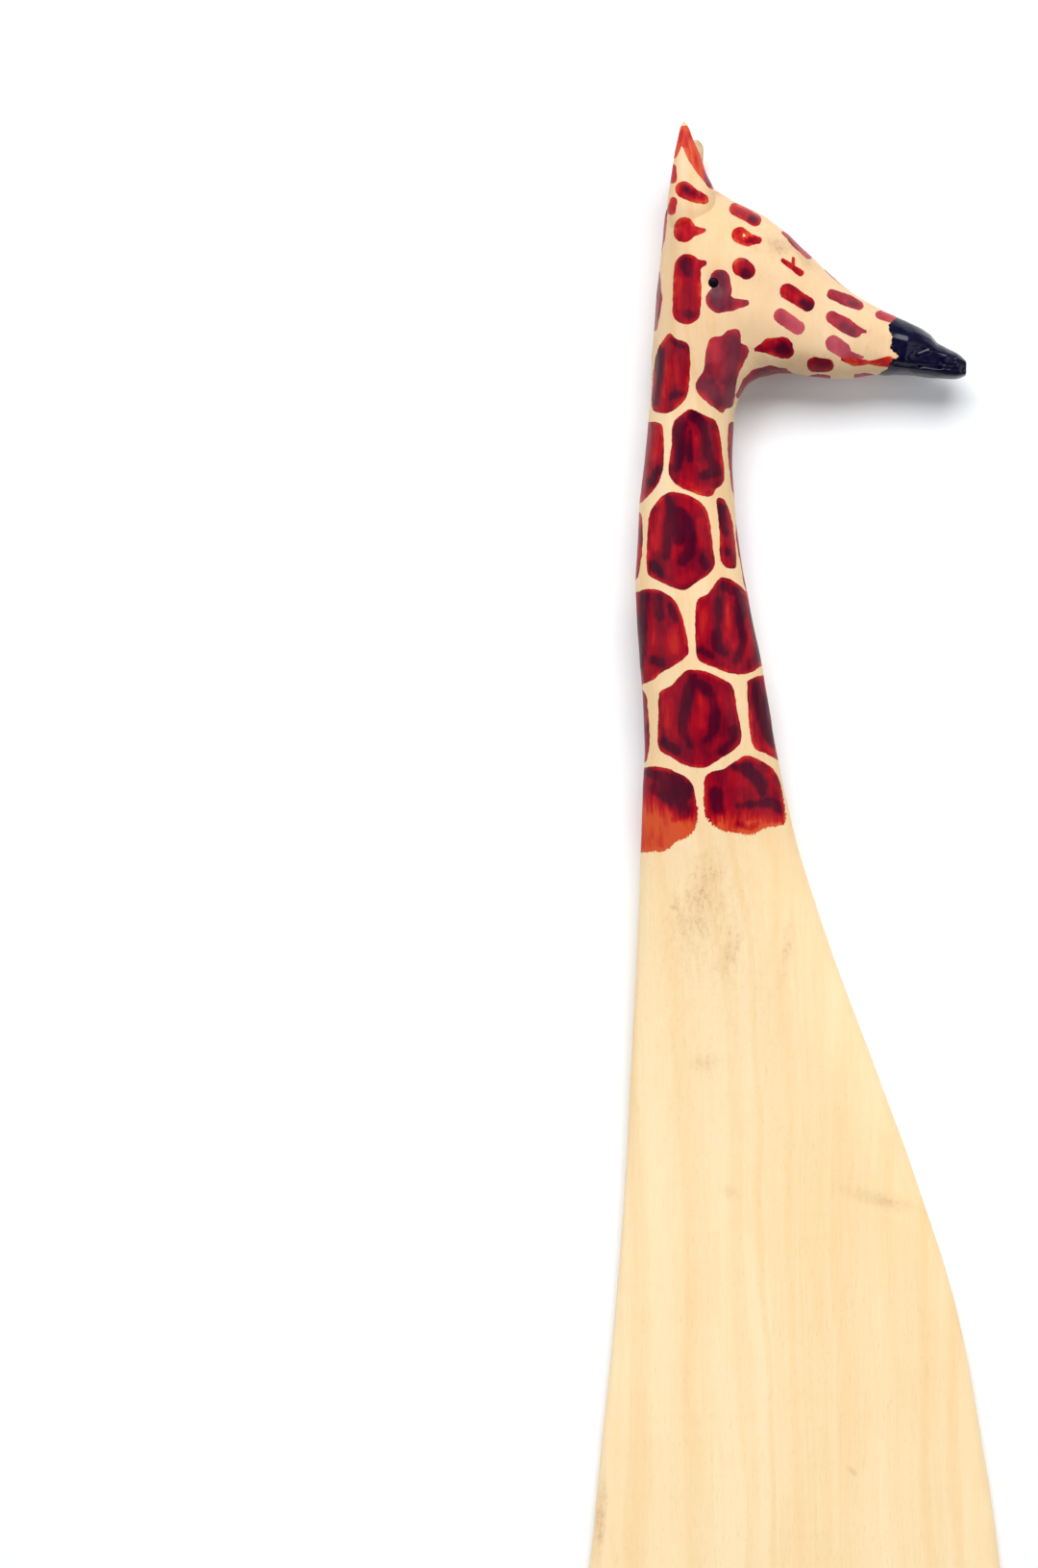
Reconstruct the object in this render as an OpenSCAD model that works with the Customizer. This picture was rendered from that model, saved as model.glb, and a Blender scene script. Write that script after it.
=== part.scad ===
// A flat wooden serving paddle whose handle is carved as a giraffe's neck and head.
// The paddle lies on its back: +Z is up through the wood, +Y runs along the neck to
// the ears and +X is the way the muzzle points. The origin is the centre of the bottom
// face of its box. The giraffe's right side faces up and its left side faces down.
//
// The body is one smooth loft through cross-sections. Each section stands upright on a
// line from the front outline (chest, throat, jaw) to the back outline (nape, brow,
// nose). Up the blade and neck the lines are level, and around the throat they fan out
// until they stand almost across the muzzle.

/* [Outline] */
// Length from the end of the blade to the tip of the taller ear
overall_length = 305; // [260:1:350]
// Greatest width of the blade
blade_width = 72; // [62:1:82]
// Length of the rounded end of the blade
blade_end_length = 47; // [36:1:50]
// How square the rounded end is, from 2 for an ellipse upwards
blade_end_squareness = 2.4; // [2:0.1:4]

/* [Thickness] */
// Thickness of the head at the cheeks
head_thickness = 20; // [16:0.5:24]
// Thickness of the blade where its end starts to round
blade_thickness = 3.2; // [2.4:0.1:4.4]
// Width of the softened edge round the end of the blade
end_softening = 2.4; // [1.2:0.1:4]

/* [Eyes] */
// Radius of the black pin that is pressed in for each eye
eye_radius = 0.85; // [0.5:0.05:1.2]
// Depth of the drilled hole that holds the pin
eye_hole_depth = 4; // [2:0.5:6]
// How far the pin's end is domed
eye_dome_height = 0.3; // [0.1:0.05:0.45]

/* [Smoothness] */
// Sections between one station and the next
sections_per_span = 3; // [2:1:4]
// Points round each softened corner of a section
corner_points = 5; // [3:1:7]

/* [Hidden] */

wood = [0.98, 0.89, 0.71];
dye = [0.62, 0.05, 0.12];
black = [0.06, 0.05, 0.12];

// The stations below are written for a paddle 305 long, 72 wide and 20 thick, and are
// stretched from that to the dimensions above
along = overall_length / 305;
across = blade_width / 72;
deep = head_thickness / 20;

// A station: front x, front y, back x, back y, underside z, top z, and how much of the
// section's half width its softened corners take up (1 is a full oval)
FRONT_X = 0;
FRONT_Y = 1;
BACK_X = 2;
BACK_Y = 3;
UNDER = 4;
TOP = 5;
SOFT = 6;

// Where the end of the blade starts to round, and the turns round it, in degrees, at which
// its sections stand. The last one is narrow and lies at the very end.
tip_y = -152.5;
end_y = tip_y + blade_end_length / along;
end_turn = [12, 24, 35, 45, 54, 62, 70, 77, 83, 88.2];
// The share of the softened edge that is left flat at the very end
edge_flat = 0.02;
blade_soft = 0.11;

blade_stations = [
    [36.0, end_y, -36.0, end_y, 0, 3.2, blade_soft],
    [34.6, -88, -33.8, -88, 0, 3.5, blade_soft],
    [31.6, -67, -31.7, -67, 0, 3.9, 0.14],
    [27.1, -44, -29.4, -44, 0, 4.5, 0.2],
    [20.1, -22, -27.8, -22, 0, 5.6, 0.32],
    [12.0, 0, -26.7, 0, 0, 7.6, 0.55],
    [6.0, 16, -25.9, 16, 0, 9.6, 0.78],
    [1.5, 30, -25.4, 30, 0.2, 11.6, 0.92]
];
neck_stations = [
    [1.5, 30, -25.4, 30, 0.2, 11.6, 0.92],
    [-1.0, 40, -25.0, 40, 0.5, 13.0, 0.96],
    [-3.0, 50, -24.7, 50, 0.7, 14.0, 0.96],
    [-4.7, 60, -25.2, 60, 0.9, 14.6, 0.96],
    [-7.3, 73, -26.1, 73, 1.0, 15.0, 0.96],
    [-9.2, 84, -25.8, 84, 1.0, 15.3, 0.96],
    [-10.1, 93.5, -25.1, 93, 1.0, 15.6, 0.96],
    [-9.9, 102.5, -24.1, 102, 0.8, 16.4, 0.96],
    [-9.2, 106, -23.6, 109, 0.6, 17.2, 0.95]
];
head_stations = [
    [-9.2, 106, -23.6, 109, 0.6, 17.2, 0.95],
    [-8.5, 107.7, -23.2, 116, 0.35, 18.3, 0.93],
    [-7.7, 108.8, -22.6, 124, 0.15, 19.2, 0.9],
    [-7.0, 109.4, -21.8, 132, 0.04, 19.8, 0.88],
    [-6.3, 109.8, -20.9, 138.4, 0, 20, 0.88],
    [-5.6, 110.1, -17.6, 141.4, 0, 20, 0.88],
    [-4.9, 110.3, -13.4, 141.2, 0.04, 19.9, 0.88],
    [-3.8, 110.5, -9.2, 139.1, 0.15, 19.7, 0.88],
    [-2.0, 110.8, -5.1, 137.1, 0.45, 19.3, 0.88],
    [0.6, 110.7, -1.0, 134.2, 1.0, 18.7, 0.88],
    [3.6, 110.2, 3.2, 130.2, 1.8, 17.8, 0.88],
    [7.0, 109.9, 8.0, 125.8, 2.8, 16.8, 0.88],
    [10.6, 110.2, 12.6, 122.6, 3.8, 15.8, 0.88],
    [13.9, 110.6, 17.1, 120.3, 4.4, 15.0, 0.88]
];
muzzle_stations = [
    [13.9, 110.6, 17.1, 120.3, 4.4, 15.0, 0.88],
    [18.7, 110.6, 21.2, 118.4, 4.8, 14.4, 0.86],
    [23.4, 110.1, 24.8, 115.9, 5.2, 13.8, 0.84],
    [26.8, 109.9, 27.4, 114.3, 5.5, 13.4, 0.8],
    [28.6, 110.4, 28.7, 113.2, 6.1, 12.8, 0.8]
];
right_ear_stations = [
    [-13.4, 134, -20.4, 134, 10.6, 17.2, 0.94],
    [-12.9, 138, -21.0, 138, 10.6, 18.3, 0.94],
    [-13.2, 141, -20.7, 141, 11.0, 18.4, 0.94],
    [-14.5, 144, -20.3, 144, 11.8, 18.0, 0.94],
    [-15.4, 146.8, -19.9, 146.8, 12.6, 17.4, 0.94],
    [-16.5, 149.2, -19.4, 149.2, 13.3, 16.8, 0.94],
    [-17.3, 151.4, -18.9, 151.4, 14.1, 16.2, 0.94],
    [-18.0, 152.5, -18.4, 152.5, 14.9, 15.5, 0.94]
];
left_ear_stations = [
    [-13.5, 134, -19.2, 134, 2.8, 9.4, 0.94],
    [-12.9, 138, -19.8, 138, 1.7, 9.4, 0.94],
    [-13.6, 141, -19.8, 141, 1.6, 9.0, 0.94],
    [-15.1, 144, -19.3, 144, 2.0, 8.2, 0.94],
    [-14.9, 146.8, -18.5, 146.8, 2.7, 7.4, 0.94],
    [-14.9, 148.8, -17.5, 148.8, 3.4, 6.7, 0.94],
    [-15.6, 149.8, -16.4, 149.8, 4.4, 5.8, 0.94]
];

// The place of the eyes, and how far the crown of each pin stays below the cheek
eye_x = -13.4 * across;
eye_y = 125.7 * along;
eye_sink = 0.05;

// Turns a station written for the nominal paddle into one of this paddle
function fitted(s) = [
    s[FRONT_X] * across,
    s[FRONT_Y] * along,
    s[BACK_X] * across,
    s[BACK_Y] * along,
    s[UNDER] * deep,
    s[TOP] * deep,
    s[SOFT]
];

// The height of a rounded corner, from 0 at its edge to 1 where it meets the flat
function corner_rise(share) = sqrt(1 - pow(1 - min(max(share, 0), 1), 2));

// The station at one turn, in degrees, round the end of the blade
function end_station(turn) =
    let (first = blade_stations[0],
         half = pow(1 - pow(sin(turn), blade_end_squareness), 1 / blade_end_squareness),
         y = end_y + (tip_y - end_y) * sin(turn) / sin(end_turn[len(end_turn) - 1]),
         middle = first[TOP] / 2,
         rise = corner_rise((y - tip_y) * along / end_softening + edge_flat))
    [first[FRONT_X] * half, y, first[BACK_X] * half, y,
     middle * (1 - rise), middle * (1 + rise), blade_soft];

// A point of the smooth curve through b and c, which also heeds a and d beside them
function between(a, b, c, d, t) =
    b + 0.5 * t * (c - a + t * (2 * a - 5 * b + 4 * c - d + t * (3 * (b - c) + d - a)));

// The stations with smooth ones added in every span
function smoothed(list) =
    let (last = len(list) - 1)
    concat(
        [for (i = [0:last - 1]) for (k = [0:sections_per_span - 1])
            between(list[max(i - 1, 0)], list[i], list[i + 1], list[min(i + 2, last)],
                    k / sections_per_span)],
        [list[last]]);

// The smooth stations of one stretch of the body, heeding the stretches next to it so
// that the wood runs on without a kink
function stretch(before, list, after) =
    let (all = smoothed(concat(before, list, after)),
         first = len(before) * sections_per_span,
         count = (len(list) - 1) * sections_per_span)
    [for (i = [first:first + count]) all[i]];

// One section as a ring of points: over the top from front to back, then underneath
function section(s) =
    let (front = [s[FRONT_X], s[FRONT_Y]],
         back = [s[BACK_X], s[BACK_Y]],
         middle = (s[UNDER] + s[TOP]) / 2,
         half = (s[TOP] - s[UNDER]) / 2,
         turns = [for (k = [0:corner_points]) 90 * k / corner_points],
         share = s[SOFT] / 2,
         over = concat(
             [for (a = turns) [share * (1 - cos(a)), sin(a)]],
             [for (k = [corner_points:-1:0]) [1 - share * (1 - cos(turns[k])), sin(turns[k])]]),
         under = [for (k = [len(over) - 2:-1:1]) [over[k][0], -over[k][1]]])
    [for (p = concat(over, under))
        let (xy = front + (back - front) * p[0]) [xy[0], xy[1], middle + half * p[1]]];

// A closed solid through sections, flat at both ends
module loft(stations) {
    rings = [for (s = stations) section(s)];
    n = len(rings[0]);
    last = len(rings) - 1;
    points = [for (r = rings) for (p = r) p];
    sides = [for (i = [0:last - 1]) for (k = [0:n - 1])
        let (a = i * n + k, b = i * n + (k + 1) % n)
        each [[a, b, b + n], [a, b + n, a + n]]];
    start = [for (k = [n - 1:-1:0]) k];
    finish = [for (k = [0:n - 1]) last * n + k];
    polyhedron(points = points, faces = concat(sides, [start], [finish]), convexity = 6);
}

fitted_blade = [for (s = blade_stations) fitted(s)];
fitted_neck = [for (s = neck_stations) fitted(s)];
fitted_head = [for (s = head_stations) fitted(s)];
fitted_muzzle = [for (s = muzzle_stations) fitted(s)];

// Two stretches share the station at the cut between them, so the station that a stretch
// heeds beyond its cut is the second, or the last but one, of its neighbour
function second(list) = [list[1]];
function last_but_one(list) = [list[len(list) - 2]];

// A fitted station of the blade with its top moved towards the blade's own thickness,
// fully round the end and less and less towards the neck
function thinned(s) =
    let (share = min(1, max(0, s[FRONT_Y] / (end_y * along))),
         change = (blade_thickness - blade_stations[0][TOP] * deep) * share)
    [s[FRONT_X], s[FRONT_Y], s[BACK_X], s[BACK_Y], s[UNDER], s[TOP] + change, s[SOFT]];

module head_wood() {
    loft(stretch(last_but_one(fitted_neck), fitted_head, second(fitted_muzzle)));
}

// Stands what follows on the head's middle plane at an eye, facing up (1) or down (-1)
module at_eye(side) {
    translate([eye_x, eye_y, head_thickness / 2])
        mirror([0, 0, side > 0 ? 0 : 1])
            children();
}

// The drilled hole for an eye's pin
module eye_hole(side) {
    at_eye(side)
        translate([0, 0, head_thickness / 2 - eye_hole_depth])
            cylinder(r = eye_radius, h = eye_hole_depth + 1, $fn = 48);
}

// A black pin with a domed end, pressed in until its crown is level with the cheek
module eye(side) {
    dome_radius = (pow(eye_radius, 2) + pow(eye_dome_height, 2)) / (2 * eye_dome_height);
    crown = head_thickness / 2 - eye_sink;
    at_eye(side)
        intersection() {
            translate([0, 0, head_thickness / 2 - eye_hole_depth])
                cylinder(r = eye_radius, h = eye_hole_depth, $fn = 48);
            translate([0, 0, crown - dome_radius])
                sphere(r = dome_radius, $fn = 96);
        }
}

module blade() {
    end = [for (k = [len(end_turn) - 1:-1:0]) fitted(end_station(end_turn[k]))];
    rest = stretch([fitted(end_station(end_turn[1]))], fitted_blade, second(fitted_neck));
    color(wood)
        loft([for (s = concat(end, rest)) thinned(s)]);
}

module neck() {
    color(dye)
        loft(stretch(last_but_one(fitted_blade), fitted_neck, second(fitted_head)));
}

module head() {
    color(dye)
        difference() {
            head_wood();
            eye_hole(1);
            eye_hole(-1);
        }
}

module muzzle() {
    color(black)
        loft(stretch(last_but_one(fitted_head), fitted_muzzle, []));
}

module right_ear() {
    color(dye)
        difference() {
            loft(smoothed([for (s = right_ear_stations) fitted(s)]));
            head_wood();
        }
}

module left_ear() {
    color(wood)
        difference() {
            loft(smoothed([for (s = left_ear_stations) fitted(s)]));
            head_wood();
        }
}

module right_eye() {
    color(black)
        eye(1);
}

module left_eye() {
    color(black)
        eye(-1);
}

blade();
neck();
head();
muzzle();
right_ear();
left_ear();
right_eye();
left_eye();
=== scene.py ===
import math

import bpy
import numpy as np
from bpy.props import FloatProperty, FloatVectorProperty, IntProperty, PointerProperty
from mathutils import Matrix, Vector


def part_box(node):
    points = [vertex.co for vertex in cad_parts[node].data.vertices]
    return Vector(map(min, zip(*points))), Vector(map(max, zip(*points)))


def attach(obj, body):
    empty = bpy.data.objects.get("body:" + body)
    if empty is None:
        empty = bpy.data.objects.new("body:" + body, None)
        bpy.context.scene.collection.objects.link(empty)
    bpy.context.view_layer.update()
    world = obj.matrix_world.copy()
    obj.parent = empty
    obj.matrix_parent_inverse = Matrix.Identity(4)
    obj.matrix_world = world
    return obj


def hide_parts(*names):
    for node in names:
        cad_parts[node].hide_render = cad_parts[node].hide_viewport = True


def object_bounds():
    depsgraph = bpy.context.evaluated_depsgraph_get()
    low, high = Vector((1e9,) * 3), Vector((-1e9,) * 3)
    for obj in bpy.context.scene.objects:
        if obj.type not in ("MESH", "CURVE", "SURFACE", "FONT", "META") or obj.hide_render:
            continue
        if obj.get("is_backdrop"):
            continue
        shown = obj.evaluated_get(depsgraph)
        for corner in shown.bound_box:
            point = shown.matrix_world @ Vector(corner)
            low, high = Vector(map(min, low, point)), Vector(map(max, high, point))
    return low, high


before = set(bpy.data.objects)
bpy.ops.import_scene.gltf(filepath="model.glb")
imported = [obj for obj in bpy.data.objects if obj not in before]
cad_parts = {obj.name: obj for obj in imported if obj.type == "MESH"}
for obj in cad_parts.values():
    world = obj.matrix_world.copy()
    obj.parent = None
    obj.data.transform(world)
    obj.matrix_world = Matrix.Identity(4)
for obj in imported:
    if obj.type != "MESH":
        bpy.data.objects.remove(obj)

bl_info = {
    "name": "Giraffe Paddle",
    "version": (1, 0, 0),
    "blender": (4, 5, 0),
    "location": "3D View > Sidebar > Paddle",
    "description": "Carves and paints a giraffe-headed serving paddle round its CAD frame",
    "category": "Object",
}

# All shapes below are worked out in millimetres, and piece_mesh makes them into metres.
MM = 0.001
BODY = "root"
CAD_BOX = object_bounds()
HEAD_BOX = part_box("head")

# The stations are written for a paddle 72 wide, 305 long and 20 thick, and follow the frame.
NOMINAL_SIZE = np.array([72, 305, 20])
TRUE_SIZE = np.array([CAD_BOX[1].x - CAD_BOX[0].x, CAD_BOX[1].y - CAD_BOX[0].y,
                      HEAD_BOX[1].z - HEAD_BOX[0].z])
TO_METRES = TRUE_SIZE / NOMINAL_SIZE

# ---------------------------------------------------------------- the carved shape

# A station: front x, front y, back x, back y, underside z, top z, softness of the corners.
TIP_Y = -152.5
END_Y = -105.5
END_SQUARENESS = 2.4
END_SOFTENING = 2.4
# The last turn about the tip, in degrees, and the share of full height that the tip keeps
END_TURN = 88.2
END_FLAT = 0.02
BLADE_STATIONS = [
    [36.0, END_Y, -36.0, END_Y, 0, 3.2, 0.11],
    [34.6, -88, -33.8, -88, 0, 3.5, 0.11],
    [31.6, -67, -31.7, -67, 0, 3.9, 0.14],
    [27.1, -44, -29.4, -44, 0, 4.5, 0.2],
    [20.1, -22, -27.8, -22, 0, 5.6, 0.32],
    [12.0, 0, -26.7, 0, 0, 7.6, 0.55],
    [6.0, 16, -25.9, 16, 0, 9.6, 0.78],
]
NECK_STATIONS = [
    [1.5, 30, -25.4, 30, 0.2, 11.6, 0.92],
    [-1.0, 40, -25.0, 40, 0.5, 13.0, 0.96],
    [-3.0, 50, -24.7, 50, 0.7, 14.0, 0.96],
    [-4.7, 60, -25.2, 60, 0.9, 14.6, 0.96],
    [-7.3, 73, -26.1, 73, 1.0, 15.0, 0.96],
    [-9.2, 84, -25.8, 84, 1.0, 15.3, 0.96],
    [-10.1, 93.5, -25.1, 93, 1.0, 15.6, 0.96],
    [-9.9, 102.5, -24.1, 102, 0.8, 16.4, 0.96],
]
HEAD_STATIONS = [
    [-9.2, 106, -23.6, 109, 0.6, 17.2, 0.95],
    [-8.5, 107.7, -23.2, 116, 0.35, 18.3, 0.93],
    [-7.7, 108.8, -22.6, 124, 0.15, 19.2, 0.9],
    [-7.0, 109.4, -21.8, 132, 0.04, 19.8, 0.88],
    [-6.3, 109.8, -20.9, 138.4, 0, 20, 0.88],
    [-5.6, 110.1, -17.6, 141.4, 0, 20, 0.88],
    [-4.9, 110.3, -13.4, 141.2, 0.04, 19.9, 0.88],
    [-3.8, 110.5, -9.2, 139.1, 0.15, 19.7, 0.88],
    [-2.0, 110.8, -5.1, 137.1, 0.45, 19.3, 0.88],
    [0.6, 110.7, -1.0, 134.2, 1.0, 18.7, 0.88],
    [3.6, 110.2, 3.2, 130.2, 1.8, 17.8, 0.88],
    [7.0, 109.9, 8.0, 125.8, 2.8, 16.8, 0.88],
    [10.6, 110.2, 12.6, 122.6, 3.8, 15.8, 0.88],
]
MUZZLE_STATIONS = [
    [13.9, 110.6, 17.1, 120.3, 4.4, 15.0, 0.88],
    [18.7, 110.6, 21.2, 118.4, 4.8, 14.4, 0.86],
    [23.4, 110.1, 24.8, 115.9, 5.2, 13.8, 0.84],
    [26.8, 109.9, 27.4, 114.3, 5.5, 13.4, 0.8],
    [28.6, 110.4, 28.7, 113.2, 6.1, 12.8, 0.8],
]
RIGHT_EAR_STATIONS = [
    [-13.4, 134, -20.4, 134, 10.6, 17.2, 0.94],
    [-12.9, 138, -21.0, 138, 10.6, 18.3, 0.94],
    [-13.2, 141, -20.7, 141, 11.0, 18.4, 0.94],
    [-14.5, 144, -20.3, 144, 11.8, 18.0, 0.94],
    [-15.4, 146.8, -19.9, 146.8, 12.6, 17.4, 0.94],
    [-16.5, 149.2, -19.4, 149.2, 13.3, 16.8, 0.94],
    [-17.3, 151.4, -18.9, 151.4, 14.1, 16.2, 0.94],
    [-18.0, 152.5, -18.4, 152.5, 14.9, 15.5, 0.94],
]
LEFT_EAR_STATIONS = [
    [-13.5, 134, -19.2, 134, 2.8, 9.4, 0.94],
    [-12.9, 138, -19.8, 138, 1.7, 9.4, 0.94],
    [-13.6, 141, -19.8, 141, 1.6, 9.0, 0.94],
    [-15.1, 144, -19.3, 144, 2.0, 8.2, 0.94],
    [-14.9, 146.8, -18.5, 146.8, 2.7, 7.4, 0.94],
    [-14.9, 148.8, -17.5, 148.8, 3.4, 6.7, 0.94],
    [-15.6, 149.8, -16.4, 149.8, 4.4, 5.8, 0.94],
]

# How many sections each stretch gets between one station and the next, and round the end.
STEPS = {"blade": 22, "neck": 24, "head": 18, "muzzle": 24, "ear": 14}
END_SECTIONS = 46
POINTS_ROUND = 192
EAR_POINTS_ROUND = 96
# The share of a section's points that go where it bends, beyond those spread evenly.
BEND_SHARE = 0.3
# How many points draw one rounded corner of a section before they are spread anew.
CORNER_POINTS = 33


def between(a, b, c, d, t):
    """A point of the smooth curve through b and c that also heeds a and d."""
    return b + 0.5 * t * (c - a + t * (2 * a - 5 * b + 4 * c - d + t * (3 * (b - c) + d - a)))


def smoothed(stations, steps):
    """The stations with steps[i] smooth sections in the span after station i."""
    last = len(stations) - 1
    rows = []
    for i in range(last):
        a, d = stations[max(i - 1, 0)], stations[min(i + 2, last)]
        for k in range(steps[i]):
            rows.append(between(a, stations[i], stations[i + 1], d, k / steps[i]))
    return np.array(rows + [stations[last]])


def blade_end():
    """Sections round the end of the blade, from the very tip to where its sides begin."""
    first = np.array(BLADE_STATIONS[0], float)
    rows = []
    for turn in np.linspace(END_TURN, 0, END_SECTIONS, endpoint=False):
        reach = math.sin(math.radians(turn))
        y = END_Y + (TIP_Y - END_Y) * reach / math.sin(math.radians(END_TURN))
        half = (1 - reach ** END_SQUARENESS) ** (1 / END_SQUARENESS)
        share = min((y - TIP_Y) / END_SOFTENING + END_FLAT, 1)
        rise = math.sqrt(1 - (1 - share) ** 2)
        middle = first[5] / 2
        rows.append([first[0] * half, y, first[2] * half, y,
                     middle * (1 - rise), middle * (1 + rise), first[6]])
    return np.array(rows)


def body_sections():
    """All sections from the blade's tip to the nose, and where each stretch ends."""
    stretches = {"blade": BLADE_STATIONS, "neck": NECK_STATIONS,
                 "head": HEAD_STATIONS, "muzzle": MUZZLE_STATIONS}
    stations = np.array(sum(stretches.values(), []), float)
    steps = sum(([STEPS[name]] * len(rows) for name, rows in stretches.items()), [])
    end = blade_end()
    rows = np.vstack([end, smoothed(stations, steps)])
    cuts, start = {}, 0
    for name, stretch in stretches.items():
        stop = start + STEPS[name] * len(stretch) + (len(end) if name == "blade" else 0)
        cuts[name] = (start, min(stop, len(rows) - 1))
        start = stop
    return rows, cuts


def section_ring(row, count):
    """A section's points as shares from front to back (0 to 1) and heights (-1 to 1)."""
    turns = np.linspace(0, math.pi / 2, CORNER_POINTS)
    rise = np.stack([row[6] / 2 * (1 - np.cos(turns)), np.sin(turns)], 1)
    over = np.vstack([rise, rise[::-1] * [-1, 1] + [1, 0]])
    loop = np.vstack([over, over[-2:0:-1] * [1, -1], over[:1]])
    width = math.hypot(row[2] - row[0], row[3] - row[1])
    path = np.diff(loop * [width, (row[5] - row[4]) / 2], axis=0)
    length = np.hypot(path[:, 0], path[:, 1])
    heading = np.unwrap(np.arctan2(path[:, 1], path[:, 0]))
    bend = np.abs(np.gradient(heading))
    pace = length / length.sum() * (1 - BEND_SHARE) + bend / bend.sum() * BEND_SHARE
    reached = np.concatenate([[0], np.cumsum(pace)])
    marks = np.arange(count) / count * reached[-1]
    return np.stack([np.interp(marks, reached, loop[:, 0]),
                     np.interp(marks, reached, loop[:, 1])], 1)


class Skin:
    """The surface through a run of sections: rings of points, one ring to a section."""

    def __init__(self, rows, count):
        rings = np.array([section_ring(row, count) for row in rows])
        self.share, self.height = rings[..., 0], rings[..., 1]
        self.front, self.back = rows[:, None, 0:2], rows[:, None, 2:4]
        self.middle = (rows[:, None, 4] + rows[:, None, 5]) / 2
        half = (rows[:, None, 5] - rows[:, None, 4]) / 2
        flat = self.front + (self.back - self.front) * self.share[..., None]
        self.x, self.y = flat[..., 0].copy(), flat[..., 1].copy()
        self.plan = flat
        self.z = self.middle + half * self.height
        self.top = self.height >= 0

    def beyond(self, side):
        """Where the underside would lie if it were unfolded past the front or back rim."""
        share = -self.share if side == "front" else 2 - self.share
        return self.front + (self.back - self.front) * share[..., None]

    def normals(self):
        """Outward normals of the bare skin, before it is cut into pieces."""
        points = np.stack([self.x, self.y, self.z], -1)
        along = np.gradient(points, axis=0)
        around = np.roll(points, -1, 1) - np.roll(points, 1, 1)
        normal = np.cross(around, along)
        normal /= np.maximum(np.linalg.norm(normal, axis=-1, keepdims=True), 1e-9)
        outward = normal[..., 2] * np.where(self.top, 1, -1) * (np.abs(self.height) > 0.5)
        return normal * (1 if outward.sum() > 0 else -1)


def fall(distance):
    """A soft bell, 1 at the middle and nearly nothing at 2."""
    return np.exp(-distance ** 2)


def smooth_min(a, b, width):
    """The lower of two heights, rounded over a width where they cross."""
    blend = np.clip(0.5 + 0.5 * (b - a) / width, 0, 1)
    return b * (1 - blend) + a * blend - width * blend * (1 - blend)


def groove(x, y, start, end, half_width):
    """1 on the line between two points and 0 from half_width away."""
    start, end = np.array(start), np.array(end)
    line = end - start
    t = np.clip(((x - start[0]) * line[0] + (y - start[1]) * line[1]) / (line @ line), 0, 1)
    away = np.hypot(x - start[0] - t * line[0], y - start[1] - t * line[1])
    return np.clip(1 - away / half_width, 0, 1)


# The muzzle's knife facets: height at the muzzle's root, fall towards the nose, the line
# across that the facet tips about, its drift per millimetre, and how steeply it tips.
MUZZLE_ROOT_X = 14.0
MUZZLE_LOW_Y = 100.0
MUZZLE_FACETS = [
    {"height": 15.0, "fall": 0.14, "line": 115.0, "drift": 0.0, "tip": 0.04},
    {"height": 15.0, "fall": 0.12, "line": 118.4, "drift": -0.2, "tip": -0.85},
    {"height": 14.8, "fall": 0.10, "line": 112.0, "drift": 0.0, "tip": 0.7},
]
# How softly the facets meet, the bevel that blunts the nose, and the step down its back
FACET_BLEND = 0.3
NOSE_BEVEL = {"x": 27.2, "height": 13.2, "fall": 0.9, "blend": 0.25}
NOSE_STEP = {"x": 24.0, "run": 1.1, "length": 3.0, "depth": 0.45}
# Ridges and cuts on the muzzle: start, end, half width, height (negative for a cut)
MUZZLE_MARKS = [
    ((16.2, 116.7), (19.3, 115.9), 0.7, 0.06),
    ((20.2, 117.6), (23.2, 116.5), 0.45, 0.1),
    ((17.2, 115.2), (17.4, 113.8), 0.3, 0.06),
    ((18.8, 114.9), (20.6, 115.2), 0.4, 0.06),
    ((19.2, 113.5), (20.0, 114.3), 0.35, 0.07),
    ((20.7, 113.9), (22.6, 114.6), 0.45, 0.12),
    ((18.1, 112.6), (18.6, 112.9), 0.4, 0.08),
    ((17.0, 112.4), (21.0, 112.0), 0.4, -0.35),
    ((21.0, 112.0), (24.3, 111.8), 0.5, -0.5),
    ((24.3, 111.8), (29.5, 111.4), 0.35, -0.3),
    ((24.8, 112.3), (26.4, 112.1), 0.6, -0.32),
    ((25.1, 111.6), (25.2, 112.8), 0.22, 0.14),
    ((26.1, 111.5), (26.3, 112.5), 0.22, 0.14),
    ((27.9, 110.9), (28.2, 112.0), 0.35, -0.15),
]
NOSTRIL = {"x": 26.6, "y": 113.3, "reach_x": 0.7, "reach_y": 0.4, "depth": 0.4}


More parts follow.
